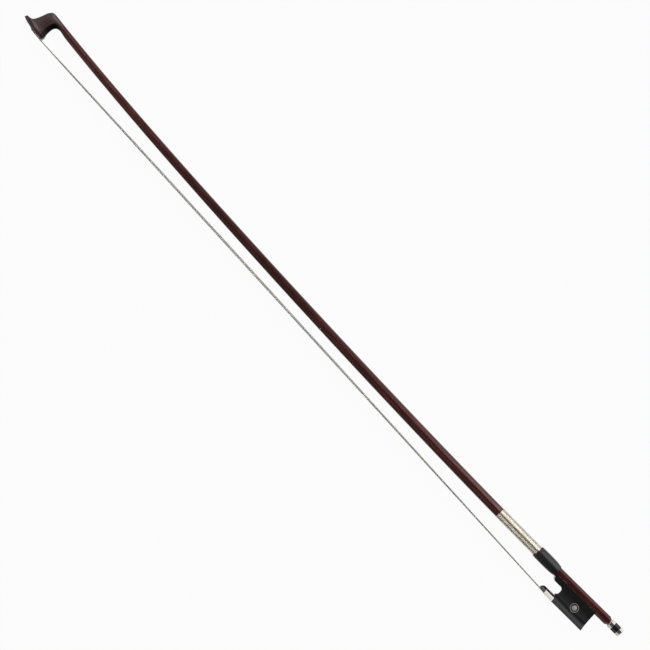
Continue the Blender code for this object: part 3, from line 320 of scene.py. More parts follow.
def painted_hollow_shade(tree, place, along):
    """Where painted shade colours the facets behind the head nearly black, round under the neck as well: 0
    to 1.
    """
    corner = ORIGIN + Vector((-HEAD_AT, HEAD_Y, 0)) * MM
    offset = add(tree, "ShaderNodeVectorMath", {0: place, 1: corner}, operation="SUBTRACT")
    along_head = Vector((math.cos(HEAD_TURN), math.sin(HEAD_TURN), 0)) / MM
    up_head = Vector((-math.sin(HEAD_TURN), math.cos(HEAD_TURN), 0)) / MM
    depth = add(tree, "ShaderNodeVectorMath", {0: offset, 1: along_head}, operation="DOT_PRODUCT")
    height = add(tree, "ShaderNodeVectorMath", {0: offset, 1: up_head}, operation="DOT_PRODUCT")
    # The painted shade's edge is a shallow arc that follows the hollow.
    rise = maths(tree, "ADD", height.outputs["Value"], -SHADE_MIDDLE)
    squared = maths(tree, "MULTIPLY", rise, rise)
    curve = maths(tree, "MULTIPLY", squared, -0.5 / SHADE_RADIUS)
    inward = maths(tree, "ADD", depth.outputs["Value"], curve)
    in_band = ramp(tree, inward, -5.6, -4.7)
    below_neck = ramp(tree, rise, 8.1, 9.9, 1.0, 0.0)
    in_neck = ramp(tree, along, -0.322, -0.343)
    both = maths(tree, "MULTIPLY", in_band, below_neck)
    return maths(tree, "MULTIPLY", both, in_neck)


def ebony():
    """Black ebony rubbed and oiled: almost no figure, a faint long grain and a dull sheen."""
    # The grain's lines are 6 mm long and 0.6 mm apart.
    stops = ((0.3, "#0e0e0f"), (0.7, "#1d1c1d"))
    surface, tree, shader, grain = figured(
        "oiled_ebony", (160, 1700, 1700), 4.0, 0.6, stops, (0.17, 0.27), IOR=1.5
    )
    bump = add(tree, "ShaderNodeBump", {"Height": grain, "Strength": 0.15, "Distance": 0.01 * MM})
    fill(tree, shader, {"Normal": bump})
    return surface


def filed_and_shaded_ebony():
    """Ebony in the frog's throat, dead black and without a gleam: partly the file's dull end grain, partly
    painted shade of the throat.
    """
    # The file's marks are 0.4 mm apart across the frog.
    surface, tree, shader = new_finish("filed_and_shaded_ebony", Roughness=0.7, Specular_IOR_Level=0.05)
    marks = pattern(tree, (900, 900, 2600), 3.0, 0.6)
    colour = colours(tree, marks, ((0.3, "#0a0a0a"), (0.7, "#141313")))
    fill(tree, shader, {"Base Color": colour})
    return surface


def nickel_silver(name, stops, gloss):
    """Nickel silver, filed, buffed and a little handled: a soft mirror with faint haze."""
    # The haze is in spots of 1.1 mm and the buffing lines are 0.1 mm apart and 2 mm long.
    surface, tree, shader, haze = figured(name, (900, 900, 900), 3.0, 0.6, stops, gloss, Metallic=1.0)
    lines = pattern(tree, (9000, 500, 9000), 2.0, 0.5)
    bump = add(tree, "ShaderNodeBump", {"Height": lines, "Strength": 0.08, "Distance": 0.01 * MM})
    fill(tree, shader, {"Normal": bump})
    return surface


def silver_wire():
    """Drawn silver wire, bright on its crowns, dulled by handling in spots of 2.5 mm."""
    stops = ((0.3, "#c3bcae"), (0.7, "#ded8cc"))
    return figured("drawn_silver_wire", (400, 400, 400), 4.0, 0.6, stops, (0.18, 0.32), Metallic=1.0)[0]


def black_leather():
    """Thin dyed goatskin: pebbled grain under a millimetre across, semi-matt, rubbed a little grey."""
    surface, tree, shader = new_finish("black_goatskin", IOR=1.45)
    # Pebbles 0.7 mm across, creases 1.4 mm apart that run 6 mm round the grip, wear in spots of 8 mm.
    place = add(tree, "ShaderNodeTexCoord").outputs["Object"]
    scaled = add(tree, "ShaderNodeMapping", {"Vector": place, "Scale": (1500, 1500, 1500)})
    sockets = {"Vector": scaled, "Scale": 1.0, "Randomness": 0.9}
    pebbles = add(tree, "ShaderNodeTexVoronoi", sockets, feature="F1").outputs["Distance"]
    creases = pattern(tree, (700, 160, 160), 3.0, 0.6)
    height = maths(tree, "ADD", pebbles, creases)
    wear = pattern(tree, (120, 120, 120), 3.0, 0.6)
    colour = colours(tree, wear, ((0.35, "#121212"), (0.7, "#1d1c1c")))
    rough = ramp(tree, pebbles, 0.0, 1.0, 0.3, 0.42)
    bump = add(tree, "ShaderNodeBump", {"Height": height, "Strength": 0.5, "Distance": 0.12 * MM})
    fill(tree, shader, {"Base Color": colour, "Roughness": rough, "Normal": bump})
    return surface


def horsehair():
    """Bleached white horsehair: creamy, a touch translucent, each hair a little different."""
    # A tone lasts 17 cm along a hair and 0.2 mm across, one hair's width.
    stops = ((0.3, "#e2dfd0"), (0.7, "#f6f4ea"))
    return figured(
        "white_horsehair", (6, 5200, 5200), 2.0, 0.6, stops, (0.38, 0.55), IOR=1.5, Transmission_Weight=0.4
    )[0]


def mother_of_pearl():
    """Sawn pearl shell: milky with soft clouds of green and rose, glossy under a polish."""
    surface, tree, shader = new_finish("mother_of_pearl", IOR=1.55, Coat_Weight=0.5, Coat_Roughness=0.06)
    # Clouds of 2.4 to 4 mm, and growth bands 1.1 mm apart.
    clouds = pattern(tree, (260, 420, 420), 3.0, 0.5)
    stops = ((0.25, "#8b968d"), (0.42, "#a9ad9f"), (0.55, "#b1a9a2"), (0.72, "#949e94"))
    colour = colours(tree, clouds, stops)
    bands = pattern(tree, (90, 900, 900), 4.0, 0.6)
    rough = ramp(tree, bands, 0.0, 1.0, 0.12, 0.3)
    fill(tree, shader, {"Base Color": colour, "Roughness": rough})
    return surface


def tip_black():
    """The tip plate's casein: near black, dulled and greyed by dust and filing to a soft gloss."""
    # Dust and filing marks lie in spots of 2 mm.
    stops = ((0.3, "#35322f"), (0.7, "#464240"))
    return figured("black_tip_plate", (500, 500, 500), 3.0, 0.5, stops, (0.25, 0.4), IOR=1.53)[0]


def plain_wood(name, stops):
    """Small blocks of bench wood, dull from the saw: grain lines 7 mm long and 0.6 mm apart."""
    return figured(name, (150, 1800, 1800), 4.0, 0.6, stops, (0.5, 0.7), IOR=1.5)[0]


def turned_metal(name, stops):
    """Steel of the screw and brass of the eyelet, turned and left bright, its marks 0.14 mm apart."""
    return figured(name, (7000, 300, 300), 3.0, 0.6, stops, (0.25, 0.4), Metallic=1.0)[0]


def knot_thread():
    """Waxed red linen thread laid round the hair's knots, its plies 0.25 mm apart."""
    stops = ((0.35, "#7a2d22"), (0.65, "#a34b3a"))
    surface, tree, shader, ply = figured(
        "waxed_linen", (4000, 600, 600), 2.0, 0.5, stops, (0.7, 0.9), IOR=1.45, Sheen_Weight=0.2
    )
    bump = add(tree, "ShaderNodeBump", {"Height": ply, "Strength": 0.4, "Distance": 0.1 * MM})
    fill(tree, shader, {"Normal": bump})
    return surface


BRAZILWOOD = brazilwood()
EBONY = ebony()
FILED_AND_SHADED_EBONY = filed_and_shaded_ebony()
SILVER = nickel_silver("buffed_nickel_silver", ((0.3, "#cfc8bd"), (0.7, "#e2ddd4")), (0.13, 0.24))
DULL_SILVER = nickel_silver("handled_nickel_silver", ((0.3, "#8e8d80"), (0.7, "#a6a496")), (0.42, 0.58))
SILVER_WIRE = silver_wire()
LEATHER = black_leather()
HORSEHAIR = horsehair()
PEARL = mother_of_pearl()
TIP_BLACK = tip_black()
MAPLE = plain_wood("maple_plug_wood", ((0.3, "#a98458"), (0.7, "#c9a77a")))
WEDGE_WOOD = plain_wood("stained_wedge_wood", ((0.3, "#4a2f22"), (0.7, "#6b4936")))
STEEL = turned_metal("screw_steel_turned", ((0.3, "#9d9d9e"), (0.7, "#c8c8c8")))
BRASS = turned_metal("eyelet_brass_turned", ((0.3, "#a5823c"), (0.7, "#c9a75a")))
THREAD = knot_thread()


# Stick


def camber(distance):
    """Height of the stick's centre line over the screw's axis, at a distance from the tail end."""
    share = max(0.0, (distance - CAMBER_FROM) / (HEAD_AT - CAMBER_FROM))
    return CAMBER_RISE * share**CAMBER_POWER + TIP_RISE * share**TIP_POWER + TIP_LIFT * share


def upward(distance):
    """The direction square to the centre line, away from the hair."""
    slope = (camber(distance + 1) - camber(distance - 1)) / 2
    return Vector((slope, 1, 0)).normalized()


def shaft_radius(distance):
    """The shaft's radius, full up to the taper's start and least at the neck."""
    share = max(0.0, (distance - TAPER_FROM) / (NECK_AT - TAPER_FROM))
    return (SHAFT_DIAMETER - (SHAFT_DIAMETER - NECK_DIAMETER) * share**TAPER_POWER) / 2


def round_the_stick(distance, radius_at):
    """A ring round the stick's centre line, from its top by way of the upper side."""
    up = upward(distance)
    centre = Vector((-distance, camber(distance), 0))
    ring = []
    for i in range(STICK_SIDES):
        angle = (i + 0.5) * math.tau / STICK_SIDES
        radius = radius_at(angle)
        ring.append(centre + up * radius * math.cos(angle) + ACROSS * radius * math.sin(angle))
    return ring


def octagon(flats):
    """Distance from the axis to an octagon's edge, with flats on top and at the sides."""
    eighth = math.pi / 4
    return lambda angle: flats / 2 / math.cos((angle + eighth / 2) % eighth - eighth / 2)


def circle(radius):
    """Distance from the axis to a circle."""
    return lambda angle: radius


def between(first, second, share):
    """A shape part of the way from one to another."""
    return lambda angle: first(angle) * (1 - share) + second(angle) * share


def head_point(along, height, side=0.0):
    """A point of the head's frame: along from the rear corner, height from the plate's face."""
    x = -HEAD_AT + along * math.cos(HEAD_TURN) - height * math.sin(HEAD_TURN)
    y = HEAD_Y + along * math.sin(HEAD_TURN) + height * math.cos(HEAD_TURN)
    return Vector((x, y, side))


def half_section(rear, edge, cheek, ridge, swell=0.0):
    """Twelve (share, half width) points from the rear face to the front ridge, corners kept."""
    corners = [(0.0, rear), edge, cheek, (1.0, ridge)]
    points = [(0.0, rear * 0.5), (0.0, rear)]
    for (first, wide), (last, narrow), parts in zip(corners, corners[1:], (3, 4, 3)):
        for part in range(1, parts + 1):
            t = part / parts
            bulge = swell * 4 * t * (1 - t)
            points.append((first + (last - first) * t, wide + (narrow - wide) * t + bulge))
    return points


def round_section(radius):
    """The same twelve points on a round shaft."""
    half = STICK_SIDES // 2
    angles = [(half - 0.5 - i) * math.pi / half for i in range(half)]
    return [((1 + math.cos(angle)) / 2, radius * math.sin(angle)) for angle in angles]


# The plate's outline, as shares of its length and half widths, from the rear to the nose.
PLATE_SHAPE = [
    (0.0, 2.3), (0.0, 4.3), (0.07, 4.48), (0.15, 4.6), (0.24, 4.62), (0.36, 4.52),
    (0.48, 4.2), (0.60, 3.65), (0.72, 2.85), (0.83, 1.95), (0.93, 1.05), (1.0, 0.35),
]
SECTIONS = {
    "round": round_section(3.2),
    "high": half_section(1.0, (0.32, 3.2), (0.68, 2.6), 0.5, 0.08),
    "mid": half_section(1.1, (0.28, 3.55), (0.66, 2.75), 0.42, 0.12),
    "low": half_section(2.1, (0.2, 4.25), (0.62, 3.2), 0.42, 0.2),
    "plate": PLATE_SHAPE,
}

# The head's rings, from the shaft round to the plate: the outer point and the inner point in the head's
# frame, then the section they carry, as two of the sections above and how far it is from the first.
HEAD_RINGS = (
    ((2.6, 23.4), (4.6, 17.4), "round", "high", 0.0),
    ((0.2, 23.42), (3.3, 17.22), "round", "high", 0.12),
    ((-2.2, 23.42), (2.2, 16.95), "round", "high", 0.3),
    ((-4.6, 23.42), (1.25, 16.55), "round", "high", 0.55),
    ((-6.8, 23.4), (0.5, 16.0), "round", "high", 0.8),
    ((-8.8, 23.4), (-0.1, 15.3), "round", "high", 1.0),
    ((-10.3, 23.3), (-0.62, 14.5), "high", "mid", 0.0),
    ((-11.4, 22.9), (-0.96, 13.7), "high", "mid", 0.15),
    ((-12.4, 22.3), (-1.15, 12.9), "high", "mid", 0.3),
    ((-13.2, 21.4), (-1.24, 12.1), "high", "mid", 0.45),
    ((-13.95, 20.2), (-1.28, 11.3), "high", "mid", 0.6),
    ((-14.6, 18.9), (-1.3, 10.4), "high", "mid", 0.75),
    ((-15.1, 17.2), (-1.28, 9.4), "high", "mid", 0.9),
    ((-15.5, 15.2), (-1.22, 8.4), "mid", "low", 0.0),
    ((-16.1, 13.1), (-1.1, 7.4), "mid", "low", 0.12),
    ((-16.65, 11.1), (-0.98, 6.4), "mid", "low", 0.28),
    ((-17.35, 9.2), (-0.76, 5.5), "mid", "low", 0.5),
    ((-18.0, 7.5), (-0.5, 4.7), "mid", "low", 0.75),
    ((-18.9, 6.0), (-0.3, 4.0), "low", "plate", 0.0),
    ((-20.2, 5.0), (-0.15, 3.4), "low", "plate", 0.3),
    ((-22.0, 4.45), (-0.05, 2.9), "low", "plate", 0.6),
    ((-23.6, 4.1), (0.0, 2.4), "low", "plate", 0.85),
    ((-24.7, 3.85), (0.1, 2.0), "low", "plate", 1.0),
)


def plate_curve(along, offset):
    """Height of a layer that follows the plate's curved face towards the nose."""
    past = max(0.0, -along - PLATE_FLAT)
    return PLATE_FACE + offset + PLATE_RADIUS - math.sqrt(PLATE_RADIUS**2 - past**2)


def mirrored(half):
    """A whole ring from its upper half, which runs from the rear face to the front ridge."""
    return half[::-1] + [Vector((p.x, p.y, -p.z)) for p in half]


def head_ring(outer, inner, first, second, share):
    """A ring of the head's skin between its outer and inner points, on a blend of two sections."""
    half = []
    for (u1, w1), (u2, w2) in zip(SECTIONS[first], SECTIONS[second]):
        u = u1 + (u2 - u1) * share
        w = w1 + (w2 - w1) * share
        along = inner[0] + (outer[0] - inner[0]) * u
        height = inner[1] + (outer[1] - inner[1]) * u
        half.append(head_point(along, height, w))
    return mirrored(half)


def plate_ring(offset, inset=0.0):
    """The plate's outline on a layer over its curved face."""
    half = []
    for u, w in PLATE_SHAPE:
        length = -PLATE_LENGTH + PLATE_NOSE_LEAN * offset + 2 * inset
        along = -(PLATE_REAR_LEAN * offset) - inset + length * u
        half.append(head_point(along, plate_curve(along, offset), max(NOSE_HALF_WIDTH, w - inset)))
    return mirrored(half)


def make_stick():
    """The whole stick in one skin: nipple, octagonal handle, tapering shaft, head and the plate's seat."""
    flats = octagon(HANDLE_FLATS)
    seat = circle(SEAT_RADIUS)
    stations = [(distance, circle(radius)) for distance, radius in NIPPLE_PROFILE]
    stations += [(distance, octagon(width)) for distance, width in TAIL_CHAMFER]
    stations += [(HANDLE_FROM + i * HANDLE_STEP, flats) for i in range(HANDLE_RINGS)]
    for i in range(ROUNDING_RINGS):
        share = i / (ROUNDING_RINGS - 1)
        stations.append((ROUNDING_FROM + i * ROUNDING_STEP, between(flats, seat, share)))
    stations += [(distance, seat) for distance in SEAT_AT]
    for i in range(SHAFT_RINGS):
        distance = SHAFT_FROM + i * SHAFT_STEP
        stations.append((distance, circle(shaft_radius(distance))))
    rings = [round_the_stick(distance, shape) for distance, shape in stations]
    rings += [head_ring(*line) for line in HEAD_RINGS]
    rings += [plate_ring(offset, inset) for offset, inset in PLATE_SEAT]
    stick = rolled("bow_stick", rings)
    cut_away(
        stick,
        make_mortise_cutter(),
        make_bar("screw_bore", *BORE_ENDS, BORE_RADIUS, STICK_SIDES),
        make_block("eyelet_slot", *EYELET_SLOT),
    )
    smooth(stick, 24)
    finish(stick, BRAZILWOOD, "stick", "stick")


def make_mortise_cutter():
    """The trapezoid that the head's mortise is cut with."""
    rings = []
    for height in (MORTISE_FROM, MORTISE_TO):
        rings.append([head_point(along, height, side) for along, side in MORTISE_CORNERS])
    return rolled("mortise_cutter", rings)


def make_bar(name, start, end, radius, sides):
    """A closed straight bar between two points of the bow's frame."""
    clear_selection()
    first, last = row(*start), row(*end)
    run = last - first
    bpy.ops.mesh.primitive_cylinder_add(
        vertices=sides, radius=radius * MM, depth=run.length, location=(first + last) / 2
    )
    bar = take(name)
    bar.rotation_euler = run.to_track_quat("Z", "Y").to_euler()
    bpy.ops.object.transform_apply(location=True, rotation=True, scale=True)
    return bar


def make_block(name, low, high):
    """A plain block between two corners of the bow's frame, for cutting with."""
    clear_selection()
    first, last = row(*low), row(*high)
    bpy.ops.mesh.primitive_cube_add(size=1, location=(first + last) / 2)
    block = take(name)
    block.scale = last - first
    bpy.ops.object.transform_apply(location=True, rotation=True, scale=True)
    return block


def cut_away(piece, *cutters):
    """Cut each cutter out of a piece, and throw it away."""
    for cutter in cutters:
        apply_modifier(piece, "BOOLEAN", operation="DIFFERENCE", solver="EXACT", object=cutter)
        bpy.data.objects.remove(cutter, do_unlink=True)


def bevelled(piece, width, segments, degrees):
    """Ease a piece's edges where its faces meet at more than an angle."""
    apply_modifier(
        piece,
        "BEVEL",
        width=width * MM,
        segments=segments,
        limit_method="ANGLE",
        angle_limit=math.radians(degrees),
        use_clamp_overlap=True,
    )


def make_plate():
    """The black tip plate and the thin liner over it, both opened for the hair."""
    for name, (node, layers) in PLATE_LAYERS.items():
        piece = rolled(name, [plate_ring(offset, inset) for offset, inset in layers])
        cut_away(piece, make_mortise_cutter())
        smooth(piece, 30)
        finish(piece, TIP_BLACK, "stick", node)


def make_plug():
    """The head's maple plug, pushed in from below and left a little proud of the plate."""
    plug = solid_copy("head_plug", "maple_head_plug")
    proud = (head_point(0, -PLUG_PROUD) - head_point(0, 0)) * MM
    for vertex in plug.data.vertices:
        if vertex.co.y < row(*head_point(-11.5, 1.5)).y:
            vertex.co += proud
    bevelled(plug, 0.15, 2, 40)
    smooth(plug, 30)
    finish(plug, MAPLE, "stick", "head_plug")


# Winding and grip

WIRE_RADIUS = 0.165
WIRE_PITCH = 0.34
WIRE_STEPS = 18  # to a turn
WIRE_SIDES = 6
WIRE_SEAT = 0.17  # the silk and glue under the wire
WINDING_FROM = 85.6
WINDING_TO = 134.4

# Distances from the tail end and radii, from the frog's end over the swell to the lap on the winding.
GRIP_STATIONS = (
    (62.7, 4.72), (62.9, 4.95), (63.6, 5.12), (64.8, 5.34), (66.0, 5.52),
    (67.4, 5.68), (70.0, 5.84), (74.0, 5.93), (78.0, 5.95), (82.0, 5.92),
    (85.0, 5.84), (86.6, 5.74), (87.2, 5.62), (87.55, 5.42), (87.6, 5.2),
)
GRIP_INSIDE = ((87.5, 5.1), (85.0, 5.1), (84.6, 4.6), (62.75, 4.6))
GRIP_SIDES = 72
GRIP_FINENESS = 1.0
GRIP_SEAM = math.radians(232)
SEAM_LAP = 0.1  # how much the leather rises past the seam, over so many radians
SEAM_LAP_TURN = 0.5
SEAM_DIP = 0.06  # how much it sinks before the seam, from an angle and over so many radians
SEAM_DIP_FROM = 5.9
SEAM_DIP_TURN = 0.38
GRIP_WAVES = ((0.02, 1.7, 3), (0.015, 3.1, -5))  # heights, and radians for each millimetre and radian
GRIP_SLANT = 0.2  # of its rings, and which way
GRIP_SLANT_TURN = 0.4
GRIP_END_SLANT = 0.6  # of its end on the winding, cut askew
GRIP_MIDDLE = 80.0
GRIP_LAP = 86.0  # from here it lies on the winding


def make_winding():
    """Silver wire wound close over the shaft, turn beside turn, its end tucked under the grip."""
    turns = (WINDING_TO - WINDING_FROM) / WIRE_PITCH
    reach = SEAT_RADIUS + WIRE_SEAT + WIRE_RADIUS
    forward = Vector((1, 0, 0))
    rings = []
    for i in range(int(turns * WIRE_STEPS) + 1):
        distance = WINDING_FROM + i * WIRE_PITCH / WIRE_STEPS
        angle = i * math.tau / WIRE_STEPS
        out = upward(distance) * math.cos(angle) + ACROSS * math.sin(angle)
        centre = Vector((-distance, camber(distance), 0)) + out * reach
        ring = []
        for k in range(WIRE_SIDES):
            turn = k * math.tau / WIRE_SIDES
            ring.append(centre + out * WIRE_RADIUS * math.cos(turn) + forward * WIRE_RADIUS * math.sin(turn))
        rings.append(ring)
    wire = rolled("silver_winding", rings)
    smooth(wire, 80)
    finish(wire, SILVER_WIRE, "stick", "winding_wire")


def leather_ring(distance, radius, inner):
    """A ring of the grip: plain inside, outside with a lapped seam and a slight waviness."""
    up = upward(distance)
    ring = []
    for i in range(GRIP_SIDES):
        angle = i * math.tau / GRIP_SIDES
        turn = (angle - GRIP_SEAM) % math.tau
        reach = radius
        skew = 0.0
        if not inner:
            reach += SEAM_LAP * max(0.0, 1 - turn / SEAM_LAP_TURN)
            reach -= SEAM_DIP * max(0.0, (turn - SEAM_DIP_FROM) / SEAM_DIP_TURN)
            for height, along, around in GRIP_WAVES:
                reach += height * math.sin(distance * along + angle * around)
            skew = GRIP_SLANT * math.cos(angle - GRIP_SLANT_TURN)
        if distance > (GRIP_LAP if inner else GRIP_MIDDLE):
            skew = -GRIP_END_SLANT * math.cos(angle)
        centre = Vector((-distance - skew, camber(distance), 0))
        ring.append(centre + up * reach * math.cos(angle) + ACROSS * reach * math.sin(angle))
    return ring


def make_grip():
    """The leather grip: skived thin towards the frog, one lapped seam, slightly uneven from the hand."""
    fine = []
    for (first, wide), (last, narrow) in zip(GRIP_STATIONS, GRIP_STATIONS[1:]):
        parts = max(1, round((last - first) / GRIP_FINENESS))
        for part in range(parts):
            t = part / parts
            fine.append((first + (last - first) * t, wide + (narrow - wide) * t))
    fine.append(GRIP_STATIONS[-1])
    rings = [leather_ring(distance, radius, False) for distance, radius in fine]
    rings += [leather_ring(distance, radius, True) for distance, radius in GRIP_INSIDE]
    grip = rolled("leather_grip", rings, closed=True)
    smooth(grip, 50)
    finish(grip, LEATHER, "stick", "thumb_grip")


# Hair

HAIR_WIDTH_HEAD = 7.8
HAIR_WIDTH_FROG = 10.4
HAIR_LAYERS = 4
HAIRS_IN_LAYER = 44
HAIR_RADIUS = 0.08
HAIR_UNDER = -0.95  # below the plate's face, where the hair lies along it
HAIR_SPANS = 22
HAIR_BOW = 0.3  # of its middle, towards the stick
HAIR_LOOSENESS = 1.3  # how much deeper the ribbon is at its loosest
HAIR_LOOSE_POWER = 0.75
HAIR_WANDER = 0.12
HAIR_WANDER_STEP = 0.45  # radians from one span to the next
HAIR_HELD_DEPTH = 0.8
HAIR_FILL = 0.98  # of the ribbon's width


def hair_path():
    """The ribbon's middle line and widths, from the head to the ferrule, and how much each end holds."""
    start = [head_point(-13.9, 3.2), head_point(-13.9, 0.6), head_point(-13.6, -0.4)]
    start += [head_point(along, HAIR_UNDER) for along in (-12.6, -8.0, -4.0, 0.4)]
    end = [Vector((-57.0, -21.5, 0)), Vector((-51.3, -21.5, 0))]
    end += [Vector((-48.4, -20.1, 0)), Vector((-46.0, -20.1, 0))]
    widths = [3.8, 3.8, 3.9, 4.3, 6.0, 6.9, HAIR_WIDTH_HEAD]
    free = []
    for i in range(1, HAIR_SPANS):
        bow = Vector((0, HAIR_BOW * math.sin(math.pi * i / HAIR_SPANS) ** 1.5, 0))
        free.append(start[-1] + (end[0] - start[-1]) * (i / HAIR_SPANS) + bow)
        widths.append(HAIR_WIDTH_HEAD + (HAIR_WIDTH_FROG - HAIR_WIDTH_HEAD) * (i / HAIR_SPANS))
    widths += [HAIR_WIDTH_FROG, HAIR_WIDTH_FROG, HAIR_WIDTH_FROG, 8.0]
    return start + free + end, widths, len(start), len(end)


def hair_strand(path, widths, across, held, place, lift, drift, wave):
    """One hair's rings: its place in the ribbon's width and depth, and how it strays where it hangs free."""
    total = len(path)
    rings = []
    for i in range(total):
        wander = 0.0
        depth = lift * HAIR_HELD_DEPTH
        if held[0] <= i <= total - held[1]:
            stray = drift * widths[i] * math.sin(i * math.pi / total)
            wander = HAIR_WANDER * math.sin(wave + i * HAIR_WANDER_STEP) + stray
            loose = math.sin(math.pi * ((i - held[0] + 1) / HAIR_SPANS) ** HAIR_LOOSE_POWER)
            depth = lift * (1.0 + HAIR_LOOSENESS * loose)
        side = place * widths[i] * HAIR_FILL + wander
        centre = path[i] + across[i] * depth + Vector((0, 0, side))
        ring = []
        for c in range(3):
            turn = c * math.tau / 3
            out = across[i] * HAIR_RADIUS * math.cos(turn)
            ring.append(centre + out + Vector((0, 0, HAIR_RADIUS * math.sin(turn))))
        rings.append(ring)
    return rings


def make_hair():
    """White horsehair: layers of single hairs from the mortise over the plate to the ferrule."""
    chance = random.Random(7)
    path, widths, *held = hair_path()
    across = []
    for i in range(len(path)):
        run = path[min(i + 1, len(path) - 1)] - path[max(i - 1, 0)]
        across.append(Vector((-run.y, run.x, 0)).normalized())
    hairs = []
    for layer in range(HAIR_LAYERS):
        for k in range(HAIRS_IN_LAYER):
            place = (k + 0.5 + chance.uniform(-0.35, 0.35)) / HAIRS_IN_LAYER - 0.5
            lift = (layer + 0.5) / HAIR_LAYERS - 0.5 + chance.uniform(-0.08, 0.08)
            drift = chance.uniform(-0.02, 0.02)
            wave = chance.uniform(0, math.tau)
            rings = hair_strand(path, widths, across, held, place, lift, drift, wave)
            hairs.append(rolled(f"hair_{len(hairs)}", rings))
    clear_selection()
    for hair in hairs:
        hair.select_set(True)
    bpy.context.view_layer.objects.active = hairs[0]
    bpy.ops.object.join()
    hair = take("horsehair")
    smooth(hair, 130)
    finish(hair, HORSEHAIR, None, "hair_ribbon")
    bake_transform(hair)


# Frog

FROG_BOTTOM = 22.6
FROG_TOP_WIDTH = 10.0
FROG_FLARE = 3.2
FLARE_FROM = 6.0
THROAT_WALL = -48.25
THROAT_SHIFT = 0.9  # towards the head, as the near side looks
THROAT_TOP = -7.2
TONGUE_TOP = -15.5
TONGUE_FOOT = -18.4
TONGUE_NARROWING = 0.92
LOWER_EDGE = -22.5
LOWER_EDGE_DROP = 0.2
EYE_AT = 30.6
EYE_Y = 12.5
EYE_RADIUS = 4.05
EYE_WIRE = 0.26
EYE_WIRE_FLATNESS = 0.45
EYE_WIRE_SINK = 0.12  # of its middle, under the frog's side
PEARL_RADIUS = 2.3
PEARL_THICKNESS = 0.7
PEARL_SINK = 0.34

FERRULE_FOOT = 6.7
FERRULE_SHOULDER = 6.0
FERRULE_ARCH = 9.0
FERRULE_ARCH_AT = -25.12
FERRULE_ARCH_STEPS = 9
FERRULE_BEND = 1.6  # how far its rear edge leans over the ebony at the top
FERRULE_BEND_FROM = -21.5
FERRULE_BEND_HEIGHT = 5.7
# The rings of its shell, round the front edge, back inside and round the rear edge: where each lies, how
# far it is let in, how low it reaches and whether it bends.
FERRULE_RINGS = (
    (-59.02, 0.02, 22.38, 0), (-59.1, 0.12, 22.28, 0), (-59.1, 0.42, 21.98, 0), (-58.95, 0.5, 21.9, 0),
    (-49.3, 0.5, 21.9, 1), (-49.2, 0.42, 21.98, 1), (-49.2, 0.1, 22.3, 1), (-49.32, 0.0, 22.4, 1),
)


def flare(depth):
    """Half the frog's width at a depth below the screw's axis."""
    share = max(0.0, (depth - FLARE_FROM) / (FROG_BOTTOM - FLARE_FROM))
    return (FROG_TOP_WIDTH + FROG_FLARE * share**2) / 2


def solid_copy(node, name):
    """A merged copy of a CAD node's mesh, to be finished by hand."""
    clear_selection()
    original = bpy.data.objects[node]
    piece = original.copy()
    piece.data = original.data.copy()
    piece.name = name
    piece.data.name = name
    for key in list(piece.keys()):
        del piece[key]
    bpy.context.collection.objects.link(piece)
    piece.parent = None
    piece.hide_render = False
    only(piece)
    bpy.ops.object.mode_set(mode="EDIT")
    bpy.ops.mesh.select_all(action="SELECT")
    bpy.ops.mesh.remove_doubles(threshold=1e-6)
    bpy.ops.mesh.dissolve_limited(angle_limit=math.radians(1.0))
    bpy.ops.object.mode_set(mode="OBJECT")
    return piece


def make_frog():
    """The ebony frog with every edge eased by the file and the cloth."""
    frog = solid_copy("frog", "ebony_frog")
    wall = row(THROAT_WALL, 0, 0).x
    for vertex in frog.data.vertices:
        below_throat = vertex.co.y < row(0, TONGUE_TOP, 0).y
        if below_throat and abs(vertex.co.x - wall) < 0.1 * MM:
            vertex.co.x -= THROAT_SHIFT * MM
        elif below_throat and vertex.co.x < wall:
            vertex.co.z = ORIGIN.z + (vertex.co.z - ORIGIN.z) * TONGUE_NARROWING
        elif vertex.co.y < row(0, LOWER_EDGE, 0).y:
            vertex.co.y -= LOWER_EDGE_DROP * MM
    bevelled(frog, 0.22, 2, 40)
    smooth(frog, 32)
    apply_modifier(frog, "WEIGHTED_NORMAL", keep_sharp=True)
    finish(frog, EBONY, "frog", "frog")
    # The throat and the tongue are dull and darker: partly the file's end grain, partly painted shade.
    frog.data.materials.append(FILED_AND_SHADED_EBONY)
    for face in frog.data.polygons:
        place = (face.center - ORIGIN) / MM
        in_throat = place.x < THROAT_WALL + 0.55 and TONGUE_FOOT < place.y < THROAT_TOP
        on_side = abs(face.normal.z) > 0.9 and abs(place.z) > 4.9
        if in_throat and not on_side:
            face.material_index = 1


def make_underslide():
    """The silver liner between the frog and the stick, its lips eased so that they catch the light."""
    liner = solid_copy("underslide", "underslide_liner")
    bevelled(liner, 0.12, 2, 40)
    smooth(liner, 30)
    finish(liner, DULL_SILVER, "frog", "underslide")


def ferrule_ring(x, inset, low, bend):
    """The ferrule's section: a flat underside, flared sides with eased corners and a domed top."""
    foot = FERRULE_FOOT - inset
    shoulder = FERRULE_SHOULDER - inset
    arch = FERRULE_ARCH - inset
    spring = math.asin(shoulder / arch)
    points = [
        (-low, 0.0),
        (-low, foot * 0.5),
        (-low, foot - 0.35),
        (-low + 0.1, foot - 0.1),
        (-low + 0.35, foot),
        (-low + 1.6, foot - 0.24),
        (-low + 3.0, foot - 0.53),
        (-18.75, shoulder + 0.05),
        (-18.6, shoulder),
    ]
    for i in range(FERRULE_ARCH_STEPS + 1):
        angle = spring * (1 - i / FERRULE_ARCH_STEPS)
        y = FERRULE_ARCH_AT - inset + (arch + inset) * math.cos(angle)
        points.append((y, shoulder * math.sin(angle) / math.sin(spring)))
    ring = []
    for y, z in points:
        climb = max(0.0, (y - FERRULE_BEND_FROM) / FERRULE_BEND_HEIGHT)
        ring.append(Vector((x - FERRULE_BEND * bend * climb**2, y, z)))
    return ring + [Vector((p.x, p.y, -p.z)) for p in reversed(ring[1:-1])]


